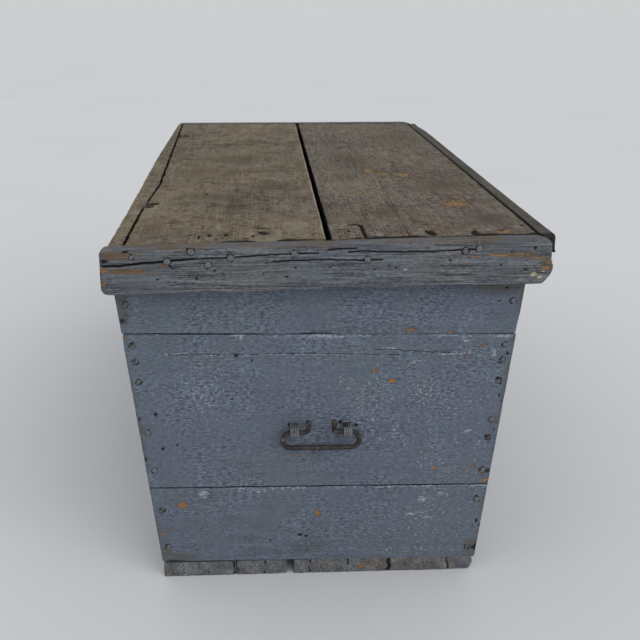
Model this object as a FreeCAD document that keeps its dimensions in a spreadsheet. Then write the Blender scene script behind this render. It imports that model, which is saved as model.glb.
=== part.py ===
"""A nailed plank trunk with sloping long walls, a two-board lid on pin-and-eye hinges and a bail at each end.

Millimetres. X runs along the trunk, the front faces -Y, +Z is up. The origin is the middle of the underside.
"""

import FreeCAD, Part
import math
import os

import Sketcher
from FreeCAD import Placement, Rotation, Vector

SIZES = [
    ("case_length", 1160, "outer length over the end boards"),
    ("top_half_width", 252, "middle of the case to a long wall's outer face, at the top edge"),
    ("bottom_half_width", 205, "the same at the foot of the wall"),
    ("wall_height", 403.5, "walls, standing on the base boards"),
    ("low_board_height", 107, "lowest of the three boards in each wall"),
    ("middle_board_height", 205.5, "middle board of each wall"),
    ("wall_thickness", 24, "long walls, measured level"),
    ("end_thickness", 25, "end boards"),
    ("base_thickness", 20, "base boards"),
    ("base_inset", 1.5, "base boards stand back from the wall's foot"),
    ("base_rear_width", 93.5, "rear base board"),
    ("base_joint", 1, "open joint between rear and middle base boards"),
    ("base_middle_width", 66, "middle base board"),
    ("base_gap", 9, "shrinkage gap in front of the middle base board"),
    ("lid_thickness", 23, "lid boards and front strip"),
    ("lid_rear_overhang", 6, "lid past the back wall's top edge"),
    ("lid_front_overhang", 30, "lid and its strip past the front wall's top edge"),
    ("lid_rear_board_width", 263.5, "rear lid board with the strip that split off it"),
    ("lid_gap", 7, "shrinkage gap between the lid boards"),
    ("front_strip_width", 22, "strip nailed along the lid's front edge"),
    ("split_gap", 1.5, "width of the split along the hinge side"),
    ("split_left_end", 24, "rear edge to the split, at the left end"),
    ("split_left_hinge", 24, "rear edge to the split, by the left hinge"),
    ("split_widest", 29.5, "rear edge to the split, where the strip is widest"),
    ("split_right_hinge", 14, "rear edge to the split, by the right hinge"),
    ("split_right_end", 8, "rear edge to the split, at the right end"),
    ("cleat_thickness", 25, "cleats across the lid's ends"),
    ("cleat_clearance", 3, "cleat to end board"),
    ("cleat_drop", 31.5, "cleat below the lid boards"),
    ("cleat_rear_overrun", 1, "cleat past the lid's rear edge"),
    ("cleat_front_inset", 8, "cleat short of the front strip's face"),
    ("cleat_corner", 13, "worn-off lower front corner of a cleat"),
    ("nail_shank", 3.4, "square shank under the head"),
    ("nail_tip", 1.4, "square shank at the tip"),
    ("nail_inset", 11, "corner nails in from the long wall's face"),
    ("wall_nail_length", 60, "corner nails"),
    ("wall_nail_head", 3.2, "head radius of corner and strip nails"),
    ("wall_nail_crown", 1.4, "head height of corner and strip nails"),
    ("cleat_nail_length", 60, "cleat nails"),
    ("cleat_nail_head", 4.3, "head radius of cleat nails"),
    ("cleat_nail_crown", 1.8, "head height of cleat nails"),
    ("strip_nail_length", 46, "front strip nails"),
    ("base_nail_length", 55, "base nails"),
    ("base_nail_head", 3.6, "head radius of the flush base nails"),
    ("base_nail_crown", 2, "depth of the flush head"),
    ("handle_height", 209, "floor to the bail's axis"),
    ("handle_standoff", 15, "end board to the bail's axis"),
    ("bail_radius", 3.25, "bail's round bar"),
    ("bail_width", 102, "bail over its bends"),
    ("bail_drop", 21, "bail's axis to the middle of its grip bar"),
    ("bail_tip_spacing", 32, "between the turned-up ends"),
    ("bail_tip_rise", 18.5, "turned-up ends above the axis"),
    ("bail_tip_lean", 20, "turned-up ends lean outward, degrees"),
    ("bail_elbow", 5, "bend radius of the turned-up ends"),
    ("staple_spacing", 64, "between the two staples of a handle"),
    ("staple_width", 8, "flat bar of a staple, along the axis"),
    ("staple_thickness", 3, "flat bar of a staple"),
    ("staple_clearance", 0.35, "staple to bail"),
    ("staple_clench", 12, "staple leg bent over inside the end board"),
    ("hinge_inset", 215, "end of the case to the hinge near it"),
    ("hinge_offset", 1.5, "hinge axis behind the back wall's top edge"),
    ("eye_radius", 6, "hinge eye, to the middle of its wire"),
    ("eye_wire", 2, "radius of the eye's wire"),
    ("eye_clearance", 0.8, "room round the eyes in the notches"),
    ("pin_radius", 2.6, "shank of a hinge pin"),
    ("lid_pin_lean", 42, "lid pin from upright, degrees"),
    ("case_pin_lean", 50, "case pin from upright, degrees"),
    ("pin_leg_width", 5.5, "clenched leg of a hinge pin"),
    ("pin_leg_thickness", 2.2, "clenched leg of a hinge pin"),
    ("lid_leg_long", 48, "leg clenched along the lid"),
    ("lid_leg_short", 14, "leg clenched across the lid"),
    ("case_leg_span", 60, "case pin's two legs, end to end"),
]

# Where each corner nail sits, as a share of its board's height.
REAR_NAIL_SHARES = {
    "bottom": (0.22, 0.72),
    "middle": (0.13, 0.38, 0.71, 0.84, 0.94),
    "top": (0.44, 0.83),
}
FRONT_NAIL_SHARES = {
    "bottom": (0.13, 0.78),
    "middle": (0.09, 0.31, 0.43, 0.69, 0.82, 0.92),
    "top": (0.44, 0.83),
}

# Cleat nails, as shares of the lid board's width from its rear edge and of its thickness from the top.
REAR_BOARD_NAIL_SHARES = (
    (0.139, 0.40), (0.294, 0.66), (0.40, 0.20), (0.473, 0.90), (0.572, 0.56), (0.854, 0.45),
)
FRONT_BOARD_NAIL_SHARES = ((0.161, 0.84), (0.625, 0.50), (0.692, 0.41))

# Where the strip that split off the lid is widest, as a share of the way from the left hinge to the right.
SPLIT_WIDEST_SHARE = 0.23
STRIP_NAIL_COUNT = 6
BASE_WALL_NAIL_COUNT = 5
BASE_END_NAIL_SHARES = (0.27, 0.73)
HEAD_TAPER = 0.55
MIDDLE = 0.5
RIGHT_ANGLE = 90
THIRD_TURN = 120
HALF_TURN = 180
FULL_TURN = 360
ABOUT_X = Vector(1, 0, 0)
ABOUT_Y = Vector(0, 1, 0)
ABOUT_Z = Vector(0, 0, 1)

# Places that several pieces share, as expressions on the sheet.
FOOT = "Sizes.base_thickness"
LOW_JOINT = "(Sizes.base_thickness + Sizes.low_board_height)"
HIGH_JOINT = "(Sizes.base_thickness + Sizes.low_board_height + Sizes.middle_board_height)"
CASE_TOP = "(Sizes.base_thickness + Sizes.wall_height)"
LID_TOP = f"({CASE_TOP} + Sizes.lid_thickness)"
CASE_HALF = "(Sizes.case_length / 2)"
LID_HALF = "(Sizes.case_length / 2 + Sizes.cleat_clearance)"
CLEAT_HALF = f"({LID_HALF} + Sizes.cleat_thickness)"
LID_REAR = "(Sizes.top_half_width + Sizes.lid_rear_overhang)"
LID_FRONT = "(-Sizes.top_half_width - Sizes.lid_front_overhang)"
STRIP_REAR = f"({LID_FRONT} + Sizes.front_strip_width)"
REAR_BOARD_FRONT = f"({LID_REAR} - Sizes.lid_rear_board_width)"
FRONT_BOARD_REAR = f"({REAR_BOARD_FRONT} - Sizes.lid_gap)"
BASE_REAR = "(Sizes.bottom_half_width - Sizes.base_inset)"
HINGE_Y = "(Sizes.top_half_width + Sizes.hinge_offset)"
EYE_ROOM = "(Sizes.eye_radius + Sizes.eye_wire + Sizes.eye_clearance)"
WALL_SLOPE = "((Sizes.top_half_width - Sizes.bottom_half_width) / Sizes.wall_height)"
TIERS = (("bottom", FOOT, LOW_JOINT), ("middle", LOW_JOINT, HIGH_JOINT), ("top", HIGH_JOINT, CASE_TOP))

doc = FreeCAD.newDocument("Trunk")
nodes = []


def write_sheet():
    sheet = doc.addObject("Spreadsheet::Sheet", "Sizes")
    for row, (alias, value, meaning) in enumerate(SIZES, start=1):
        sheet.set(f"A{row}", meaning)
        sheet.set(f"B{row}", str(value))
        sheet.setAlias(f"B{row}", alias)
    doc.recompute()


def half_width(z):
    """The case's outer half width at height z."""
    return f"(Sizes.bottom_half_width + {WALL_SLOPE} * ({z} - {FOOT}))"


def share(low, high, part):
    return f"({low} + {part} * ({high} - {low}))"


def bind(item, **expressions):
    for name, expression in expressions.items():
        item.setExpression(name, expression)
    return item


def turn(item, axis, angle):
    """Turn about an axis by a fixed angle, or by an expression."""
    start = angle if not isinstance(angle, str) else RIGHT_ANGLE
    item.Placement = Placement(Vector(), Rotation(axis, start))
    if isinstance(angle, str):
        item.setExpression("Placement.Rotation.Angle", angle)
    return item


def move(item, x="0", y="0", z="0"):
    for letter, expression in zip("xyz", (x, y, z)):
        item.setExpression(f"Placement.Base.{letter}", expression)
    return item


def box(name, x, y, z):
    """A block between two bounds on each axis."""
    block = doc.addObject("Part::Box", name)
    bind(block, Length=f"{x[1]} - {x[0]}", Width=f"{y[1]} - {y[0]}", Height=f"{z[1]} - {z[0]}")
    return move(block, x[0], y[0], z[0])


def rod(name, radius, height):
    return bind(doc.addObject("Part::Cylinder", name), Radius=radius, Height=height)


def ring(name, radius, wire, sweep=FULL_TURN):
    torus = bind(doc.addObject("Part::Torus", name), Radius1=radius, Radius2=wire)
    torus.Angle3 = sweep
    return torus


def fuse(name, pieces):
    joined = doc.addObject("Part::MultiFuse", name)
    joined.Shapes = pieces
    return joined


def group(name, pieces):
    compound = doc.addObject("Part::Compound", name)
    compound.Links = pieces
    return compound


def keep(name, piece):
    piece.Label = name
    nodes.append(piece)
    return piece


def copies(name, source, spots, axis=ABOUT_Z, angle=0):
    """A node of copies of one piece, all turned alike, one at each spot."""
    links = []
    for number, spot in enumerate(spots, start=1):
        link = doc.addObject("App::Link", f"{name}_{number}")
        link.LinkedObject = source
        links.append(move(turn(link, axis, angle), *spot))
    return keep(name, group(name, links))


def cut(name, blank, tools):
    """The node left when the nails, pins and notches are taken out of a blank."""
    result = doc.addObject("Part::Cut", name)
    result.Base = blank
    result.Tool = tools[0] if len(tools) == 1 else group(f"{name}_cuts", tools)
    return keep(name, result)


def sawn_board(name, plane_role, corners, thickness):
    """A board sawn to an outline, its corners given as expressions in the plane's two directions."""
    body = doc.addObject("PartDesign::Body", f"{name}_blank")
    sketch = body.newObject("Sketcher::SketchObject", f"{name}_outline")
    plane = next(item for item in body.Origin.OriginFeatures if item.Role == plane_role)
    sketch.AttachmentSupport = (plane, [""])
    sketch.MapMode = "FlatFace"
    count = len(corners)
    angles = [step * math.tau / count for step in range(count)]
    start = [Vector(math.cos(angle), math.sin(angle)) for angle in angles]
    for step in range(count):
        sketch.addGeometry(Part.LineSegment(start[step], start[(step + 1) % count]), False)
    for step in range(count):
        sketch.addConstraint(Sketcher.Constraint("Coincident", step, 2, (step + 1) % count, 1))
    for step, (across, up) in enumerate(corners):
        places = (("DistanceX", start[step].x, across), ("DistanceY", start[step].y, up))
        for kind, value, expression in places:
            index = sketch.addConstraint(Sketcher.Constraint(kind, -1, 1, step, 1, value))
            sketch.setExpression(f"Constraints[{index}]", expression)
    pad = body.newObject("PartDesign::Pad", f"{name}_pad")
    pad.Profile = sketch
    pad.setExpression("Length", thickness)
    return body


def nail(name, length, look, flush=False):
    """A wrought nail driven along +Y from the surface at y = 0, with a square tapered shank."""
    head = f"Sizes.{look}_head"
    shank = doc.addObject("Part::Wedge", f"{name}_shank")
    wide = "Sizes.nail_shank / 2"
    fine = "Sizes.nail_tip / 2"
    bind(shank, Xmin=f"-{wide}", Xmax=wide, Zmin=f"-{wide}", Zmax=wide, Ymin="0", Ymax=length)
    bind(shank, X2min=f"-{fine}", X2max=fine, Z2min=f"-{fine}", Z2max=fine)
    cap = doc.addObject("Part::Cone", f"{name}_head")
    bind(cap, Radius1=head, Radius2=f"{head} * {HEAD_TAPER}", Height=f"Sizes.{look}_crown")
    turn(cap, ABOUT_X, -RIGHT_ANGLE if flush else RIGHT_ANGLE)
    return fuse(name, [shank, cap])


def corner_nail_spots(x):
    """Nails down both edges of an end wall, over the middle of the long walls' end grain."""
    spots = []
    for tier, low, high in TIERS:
        for side, shares in (("", REAR_NAIL_SHARES[tier]), ("-", FRONT_NAIL_SHARES[tier])):
            for part in shares:
                z = share(low, high, part)
                spots.append((x, f"{side}({half_width(z)} - Sizes.nail_inset)", z))
    return spots


def staple():
    """A flat-bar staple about the bail's axis, legs through the end board and bent over inside.

    Its own +X points out of the board, from the board's outer face at the axis' height.
    """
    inner = "(Sizes.bail_radius + Sizes.staple_clearance)"
    outer = f"({inner} + Sizes.staple_thickness)"
    half = "Sizes.staple_width / 2"
    disc = rod("staple_disc", outer, "Sizes.staple_width")
    disc.Angle = HALF_TURN
    bore = rod("staple_bore", inner, "Sizes.staple_width")
    nose = doc.addObject("Part::Cut", "staple_nose")
    nose.Base = disc
    nose.Tool = bore
    for piece in (disc, bore):
        turn(piece, Vector(1, 1, 1), 2 * THIRD_TURN)
        move(piece, x="Sizes.handle_standoff", y=f"-{half}")
    back = "-Sizes.end_thickness"
    behind = f"({back} - Sizes.staple_thickness)"
    tip = f"({inner} + Sizes.staple_clench)"
    width = (f"-{half}", half)
    pieces = [
        nose,
        box("staple_upper_leg", (behind, "Sizes.handle_standoff"), width, (inner, outer)),
        box("staple_lower_leg", (behind, "Sizes.handle_standoff"), width, (f"-{outer}", f"-{inner}")),
        box("staple_upper_clench", (behind, back), width, (inner, tip)),
        box("staple_lower_clench", (behind, back), width, (f"-{tip}", f"-{inner}")),
    ]
    return fuse("staple", pieces)


def bail():
    """A round-bar bail: grip bar, two half-round bends, arms along the axis and turned-up ends."""
    bend = "(Sizes.bail_drop / 2)"
    reach = f"(Sizes.bail_width / 2 - Sizes.bail_radius - {bend})"
    elbow_y = "(Sizes.bail_tip_spacing / 2 + Sizes.bail_elbow)"
    lean = "Sizes.bail_tip_lean"
    out = "Sizes.handle_standoff"
    grip = rod("bail_grip", "Sizes.bail_radius", reach)
    move(turn(grip, ABOUT_X, RIGHT_ANGLE), out, "0", "-Sizes.bail_drop")
    loop = ring("bail_bend", bend, "Sizes.bail_radius", HALF_TURN)
    move(turn(loop, Vector(1, 0, 1), HALF_TURN), out, f"-{reach}", f"-{bend}")
    arm = rod("bail_arm", "Sizes.bail_radius", f"{reach} - {elbow_y}")
    move(turn(arm, ABOUT_X, RIGHT_ANGLE), out, f"-{elbow_y}")
    elbow = ring("bail_elbow", "Sizes.bail_elbow", "Sizes.bail_radius", RIGHT_ANGLE)
    turn(elbow, ABOUT_Y, f"{RIGHT_ANGLE} + {lean}")
    rise_x = f"{out} + Sizes.bail_elbow * sin({lean})"
    rise_z = f"Sizes.bail_elbow * cos({lean})"
    move(elbow, rise_x, f"-{elbow_y}", rise_z)
    tip = rod("bail_tip", "Sizes.bail_radius", "Sizes.bail_tip_rise - Sizes.bail_elbow")
    move(turn(tip, ABOUT_Y, lean), rise_x, "-Sizes.bail_tip_spacing / 2", rise_z)
    half = fuse("bail_half", [grip, loop, arm, elbow, tip])
    other = doc.addObject("Part::Mirroring", "bail_other_half")
    other.Source = half
    other.Normal = ABOUT_Y
    return fuse("bail", [half, other])


def lid_pin():
    """A hinge pin through the lid: eye round the hinge axis, leaning shank, two legs clenched on top."""
    lean = "Sizes.lid_pin_lean"
    eye = turn(ring("lid_pin_eye", "Sizes.eye_radius", "Sizes.eye_wire"), ABOUT_Y, RIGHT_ANGLE)
    length = f"(Sizes.lid_thickness + Sizes.pin_leg_thickness / 2) / cos({lean}) - Sizes.eye_radius"
    shank = turn(rod("lid_pin_shank", "Sizes.pin_radius", length), ABOUT_X, lean)
    move(shank, "0", f"-Sizes.eye_radius * sin({lean})", f"Sizes.eye_radius * cos({lean})")
    exit_y = f"(-Sizes.lid_thickness * tan({lean}))"
    half = "Sizes.pin_leg_width / 2"
    top = ("Sizes.lid_thickness", "(Sizes.lid_thickness + Sizes.pin_leg_thickness)")
    across = (f"({exit_y} - {half})", f"({exit_y} + {half})")
    forward = (f"({exit_y} - Sizes.lid_leg_short)", exit_y)
    long_leg = box("lid_pin_long_leg", (f"-{half}", "Sizes.lid_leg_long"), across, top)
    short_leg = box("lid_pin_short_leg", (f"-{half}", half), forward, top)
    return fuse("lid_pin", [eye, shank, long_leg, short_leg])


def case_pin():
    """A hinge pin through the back wall: its eye runs along the axis, through the lid pin's eye."""
    lean = "Sizes.case_pin_lean"
    eye = ring("case_pin_eye", "Sizes.eye_radius", "Sizes.eye_wire")
    turn(eye, ABOUT_X, f"{RIGHT_ANGLE} - {lean}")
    move(eye, "0", f"-Sizes.eye_radius * sin({lean})", f"-Sizes.eye_radius * cos({lean})")
    run = f"((Sizes.hinge_offset + Sizes.wall_thickness) / (sin({lean}) - {WALL_SLOPE} * cos({lean})))"
    length = f"{run} + Sizes.pin_leg_thickness / 2 - 2 * Sizes.eye_radius"
    shank = turn(rod("case_pin_shank", "Sizes.pin_radius", length), ABOUT_X, f"{HALF_TURN} - {lean}")
    move(shank, "0", f"-2 * Sizes.eye_radius * sin({lean})", f"-2 * Sizes.eye_radius * cos({lean})")
    slant = f"atan({WALL_SLOPE})"
    legs = doc.addObject("Part::Box", "case_pin_legs")
    bind(legs, Length="Sizes.case_leg_span", Width="Sizes.pin_leg_thickness", Height="Sizes.pin_leg_width")
    turn(legs, ABOUT_X, f"-{slant}")
    inward = f"Sizes.pin_leg_thickness * cos({slant}) + Sizes.pin_leg_width / 2 * sin({slant})"
    upward = f"Sizes.pin_leg_thickness * sin({slant}) - Sizes.pin_leg_width / 2 * cos({slant})"
    inner_y = f"-{run} * sin({lean}) - ({inward})"
    inner_z = f"-{run} * cos({lean}) + {upward}"
    move(legs, "-Sizes.case_leg_span / 2", inner_y, inner_z)
    return fuse("case_pin", [eye, shank, legs])


def notch(name, x, rear):
    """Room for the two eyes of one hinge, gouged out of the lid's or the wall's edge."""
    along = (f"({x} - {EYE_ROOM})", f"({x} + {EYE_ROOM})")
    across = (f"({HINGE_Y} - {EYE_ROOM})", f"({rear} + {EYE_ROOM})")
    height = (f"({CASE_TOP} - {EYE_ROOM})", f"({CASE_TOP} + {EYE_ROOM})")
    return box(name, along, across, height)


def build_case(side_x, hinges):
    corner_nail = nail("corner_nail", "Sizes.wall_nail_length", "wall_nail")
    staple_piece = staple()
    end_nails = {}
    staples = {}
    for side, x in side_x.items():
        drive = -RIGHT_ANGLE if side == "left" else RIGHT_ANGLE
        facing = HALF_TURN if side == "left" else 0
        spots = corner_nail_spots(x)
        end_nails[side] = copies(f"{side}_end_nails", corner_nail, spots, ABOUT_Z, drive)
        spots = [(x, f"{sign}Sizes.staple_spacing / 2", "Sizes.handle_height") for sign in ("", "-")]
        staples[side] = copies(f"{side}_handle_staples", staple_piece, spots, ABOUT_Z, facing)

    base_nail = nail("base_nail", "Sizes.base_nail_length", "base_nail", flush=True)
    base_boards = {
        "rear": (f"({BASE_REAR} - Sizes.base_rear_width)", BASE_REAR),
        "middle": (
            f"({BASE_REAR} - Sizes.base_rear_width - Sizes.base_joint - Sizes.base_middle_width)",
            f"({BASE_REAR} - Sizes.base_rear_width - Sizes.base_joint)",
        ),
    }
    base_boards["front"] = (f"(-{BASE_REAR})", f"({base_boards['middle'][0]} - Sizes.base_gap)")
    spots = []
    for low, high in base_boards.values():
        for part in BASE_END_NAIL_SHARES:
            for sign in ("-", ""):
                end = f"{sign}({CASE_HALF} - Sizes.end_thickness / 2)"
                spots.append((end, share(low, high, part), "0"))
    for step in range(BASE_WALL_NAIL_COUNT):
        along = share(f"(-{CASE_HALF})", CASE_HALF, (step + 1) / (BASE_WALL_NAIL_COUNT + 1))
        for sign in ("-", ""):
            spots.append((along, f"{sign}(Sizes.bottom_half_width - Sizes.nail_inset)", "0"))
    base_nails = copies("base_nails", base_nail, spots, ABOUT_X, RIGHT_ANGLE)
    for place, across in base_boards.items():
        blank = box(f"base_{place}_board_blank", (f"-{CASE_HALF}", CASE_HALF), across, ("0", FOOT))
        cut(f"base_{place}_board", blank, [base_nails])

    case_pin_piece = case_pin()
    case_pins = []
    notches = []
    for side, x in hinges.items():
        case_pins.append(copies(f"{side}_hinge_case_pin", case_pin_piece, [(x, HINGE_Y, CASE_TOP)]))
        notches.append(notch(f"{side}_wall_notch", x, HINGE_Y))

    wall_start = f"-{CASE_HALF} + Sizes.end_thickness"
    wall_length = "Sizes.case_length - 2 * Sizes.end_thickness"
    both_ends = [end_nails["left"], end_nails["right"], base_nails]
    for tier, low, high in TIERS:
        wide, narrow = half_width(high), half_width(low)
        for side, x in side_x.items():
            name = f"{side}_end_{tier}_board"
            corners = [(f"-{narrow}", low), (narrow, low), (wide, high), (f"-{wide}", high)]
            blank = sawn_board(name, "YZ_Plane", corners, "Sizes.end_thickness")
            move(blank, x if side == "left" else f"{x} - Sizes.end_thickness")
            tools = [end_nails[side], base_nails]
            cut(name, blank, tools + [staples[side]] if tier == "middle" else tools)
        for wall, sign in (("back", ""), ("front", "-")):
            name = f"{wall}_{tier}_board"
            faces = [(narrow, low), (wide, high), (f"({wide} - Sizes.wall_thickness)", high)]
            faces.append((f"({narrow} - Sizes.wall_thickness)", low))
            blank = sawn_board(name, "YZ_Plane", [(f"{sign}{y}", z) for y, z in faces], wall_length)
            move(blank, wall_start)
            hinged = name == "back_top_board"
            cut(name, blank, both_ends + case_pins + notches if hinged else both_ends)


def build_lid(side_x, hinges):
    lid_pin_piece = lid_pin()
    pins = []
    notches = []
    for side, x in hinges.items():
        pins.append(copies(f"{side}_hinge_lid_pin", lid_pin_piece, [(x, HINGE_Y, CASE_TOP)]))
        notches.append(notch(f"{side}_lid_notch", x, LID_REAR))

    cleat_nail = nail("cleat_nail", "Sizes.cleat_nail_length", "cleat_nail")
    boards = (
        (LID_REAR, REAR_BOARD_FRONT, REAR_BOARD_NAIL_SHARES),
        (FRONT_BOARD_REAR, STRIP_REAR, FRONT_BOARD_NAIL_SHARES),
    )
    cleat_nails = {}
    for side, x in side_x.items():
        spots = []
        for rear, front, shares in boards:
            for across, down in shares:
                spots.append((x, share(rear, front, across), share(LID_TOP, CASE_TOP, down)))
        drive = -RIGHT_ANGLE if side == "left" else RIGHT_ANGLE
        cleat_nails[side] = copies(f"lid_{side}_cleat_nails", cleat_nail, spots, ABOUT_Z, drive)

    length = (f"(-{LID_HALF})", LID_HALF)
    height = (CASE_TOP, LID_TOP)
    strip_nail = nail("strip_nail", "Sizes.strip_nail_length", "wall_nail")
    spots = []
    for step in range(STRIP_NAIL_COUNT):
        along = (step + MIDDLE) / STRIP_NAIL_COUNT
        spots.append((share(*length, along), LID_FRONT, share(*height, MIDDLE)))
    strip_nails = copies("lid_front_strip_nails", strip_nail, spots)

    both_cleats = [cleat_nails["left"], cleat_nails["right"]]
    front = box("lid_front_board_blank", length, (STRIP_REAR, FRONT_BOARD_REAR), height)
    cut("lid_front_board", front, both_cleats + [strip_nails])
    strip = box("lid_front_strip_blank", length, (LID_FRONT, STRIP_REAR), height)
    cut("lid_front_strip", strip, [strip_nails])

    left, right = length
    split = {
        "left_end": left,
        "left_hinge": hinges["left"],
        "widest": share(hinges["left"], hinges["right"], SPLIT_WIDEST_SHARE),
        "right_hinge": hinges["right"],
        "right_end": right,
    }
    bends = [(x, f"({LID_REAR} - Sizes.split_{place})") for place, x in split.items()]
    strip_corners = bends + [(right, LID_REAR), (left, LID_REAR)]
    board_corners = [(x, f"({y} - Sizes.split_gap)") for x, y in bends]
    board_corners += [(right, REAR_BOARD_FRONT), (left, REAR_BOARD_FRONT)]
    for name, corners in (("lid_hinge_strip", strip_corners), ("lid_rear_board", board_corners)):
        blank = sawn_board(name, "XY_Plane", corners, "Sizes.lid_thickness")
        move(blank, z=CASE_TOP)
        cut(name, blank, pins + notches + both_cleats)

    rear_end = f"({LID_REAR} + Sizes.cleat_rear_overrun)"
    front_end = f"({LID_FRONT} + Sizes.cleat_front_inset)"
    foot = f"({CASE_TOP} - Sizes.cleat_drop)"
    corners = [
        (rear_end, LID_TOP),
        (rear_end, foot),
        (f"({front_end} + Sizes.cleat_corner)", foot),
        (front_end, f"({foot} + Sizes.cleat_corner)"),
        (front_end, LID_TOP),
    ]
    for side in side_x:
        name = f"lid_{side}_cleat"
        blank = sawn_board(name, "YZ_Plane", corners, "Sizes.cleat_thickness")
        move(blank, f"-{CLEAT_HALF}" if side == "left" else LID_HALF)
        cut(name, blank, [cleat_nails[side]])


def build_handles(side_x):
    piece = bail()
    for side, x in side_x.items():
        facing = HALF_TURN if side == "left" else 0
        spot = (x, "0", "Sizes.handle_height")
        copies(f"{side}_handle_bail", piece, [spot], ABOUT_Z, facing)


def check_and_export():
    for item in doc.Objects:
        if "Invalid" in item.State or "Error" in item.State:
            raise RuntimeError(f"{item.Name} failed: {item.State}")
    for node in nodes:
        if node.Shape.isNull() or not node.Shape.isValid() or not node.Shape.Solids:
            raise RuntimeError(f"{node.Label} has no valid solid")
    os.makedirs("parts", exist_ok=True)
    for node in nodes:
        node.Shape.exportStep(f"parts/{node.Label}.step")
        print(f"{node.Label}: {len(node.Shape.Solids)} solid(s)")


def main():
    write_sheet()
    hinges = {"left": f"(Sizes.hinge_inset - {CASE_HALF})", "right": f"({CASE_HALF} - Sizes.hinge_inset)"}
    build_case({"left": f"(-{CASE_HALF})", "right": CASE_HALF}, hinges)
    build_lid({"left": f"(-{CLEAT_HALF})", "right": CLEAT_HALF}, hinges)
    build_handles({"left": f"(-{CASE_HALF})", "right": CASE_HALF})
    doc.recompute()
    check_and_export()


main()
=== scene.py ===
"""Looks of the nailed plank trunk: worn painted boards, hammered nails and forged iron over the frame."""

import itertools
import math
from functools import partial

import bpy
import numpy as np
from mathutils import Matrix, Vector


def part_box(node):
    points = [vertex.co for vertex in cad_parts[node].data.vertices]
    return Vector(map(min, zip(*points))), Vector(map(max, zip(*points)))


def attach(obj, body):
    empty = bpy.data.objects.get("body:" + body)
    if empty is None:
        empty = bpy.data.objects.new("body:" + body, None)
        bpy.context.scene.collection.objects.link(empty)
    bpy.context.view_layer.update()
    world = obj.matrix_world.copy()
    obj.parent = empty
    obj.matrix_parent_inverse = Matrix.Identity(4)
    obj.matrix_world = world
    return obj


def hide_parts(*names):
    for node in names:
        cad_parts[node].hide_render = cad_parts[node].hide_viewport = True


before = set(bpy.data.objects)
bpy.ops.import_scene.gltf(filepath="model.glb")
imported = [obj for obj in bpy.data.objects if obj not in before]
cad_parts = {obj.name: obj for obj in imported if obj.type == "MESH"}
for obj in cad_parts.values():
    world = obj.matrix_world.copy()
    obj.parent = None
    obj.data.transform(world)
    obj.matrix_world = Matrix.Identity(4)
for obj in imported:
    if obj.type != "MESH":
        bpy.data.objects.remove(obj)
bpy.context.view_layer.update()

MM = 0.001
X, Y, Z = np.eye(3)
ENDS = ("left", "right")
END_X = {"left": -1, "right": 1}
TIERS = ("bottom", "middle", "top")
# How far in from a board's edges its closest grid lines lie, and the inner side of a board at each end.
RIM = np.array([0.5, 1.2, 2.2, 3.6, 5.5])
INNER_SIDE = {"left": (1,), "right": (0,)}
# A board's grid without dense stretches on any axis.
EVEN = ((), (), ())
# The kinds of wear that the materials read from a board's points; dirt also carries painted shade, and chalk
# painted highlight.
FIELDS = ("bare", "chalk", "worn", "dirt", "tint")

# Where the hinges' axis is, how far behind it the lid ends, and how thick the walls are.
HINGE_X, HINGE_Y, HINGE_Z = 365.0, 253.5, 423.5
REAR_OVERHANG = 4.5
WALL_THICK = 24.0

# How far from the middle the end walls' faces, the lid boards' ends and the cleats' faces are.
END_FACE, LID_END, CLEAT_FACE = 580.0, 583.0, 608.0

# The hinges' notches: half their width, and their bounds in y and z in the back wall and in the lid.
NOTCH_HALF = 8.8
WALL_NOTCH = ((244.7, 270.0), (414.7, 432.0))
LID_NOTCH = ((244.7, 275.0), (410.0, 432.6))

# Nail heads: their rings as shares of radius and height, the first one grime, and each node's head height.
NAIL_SIDES = 14
NAIL_PROFILE = ((1.34, -0.15), (1.0, 0.16), (1.03, 0.4), (0.9, 0.75), (0.55, 0.98), (0.2, 1.02))
HEAD_HEIGHT = {
    "left_end_nails": 1.4, "right_end_nails": 1.4, "lid_front_strip_nails": 1.4,
    "lid_left_cleat_nails": 1.8, "lid_right_cleat_nails": 1.8,
}
# The cleat nails beyond this y are driven in flush.
FAINT_NAIL_Y = 215.0

# Numbers that mix up the cells of the noise.
HASH = np.array((374761393, 668265263, 1440662683))
HASH_SEED, HASH_MIX, WORD = 974634777, 1274126177, 0xFFFFFFFF

# The lid has warped: how far its front edge has lifted at the left and the right end, and how far that edge
# lies from the hinges.
WARP = (9.7, 2.0)
LID_REACH = 535.5

# Along x: where the lid's rear board split, its rear edge's wear, and the front strip's gap and bow.
SPLIT = ((-583, 24.0), (-365, 24.0), (-197, 29.5), (365, 14.0), (583, 8.0))
SPLIT_GAP = 1.5
REAR_WEAR = ((-583, 6.5), (-380, 6.0), (-235, 4.0), (-54, 1.5), (60, 0.0))
STRIP_GAP = ((-583, 3.6), (-480, 2.4), (0, 1.3), (583, 1.0))
STRIP_BOW = ((-583, 0.0), (-200, 0.0), (250, 2.2), (583, 2.8))

# The end walls' boards aren't quite level: how much they tilt at each height.
TILT = ((18, 0.012), (127, 0.0085), (332, 0.0137), (425, 0.0))

# How dull the walls' paint is at each height, and how dirty the end walls' upper joint is along y.
GRIME = ((20, 0.45), (150, 0.32), (320, 0.25), (390, 0.0))
TOP_JOINT_DIRT = ((-230, 0.4), (0, 0.55), (90, 0.8), (125, 1.15))

# How dirty the lid is along y where its boards meet the cleats.
BUTT_DIRT = ((-80, 1.3), (-40, 0.5))

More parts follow.
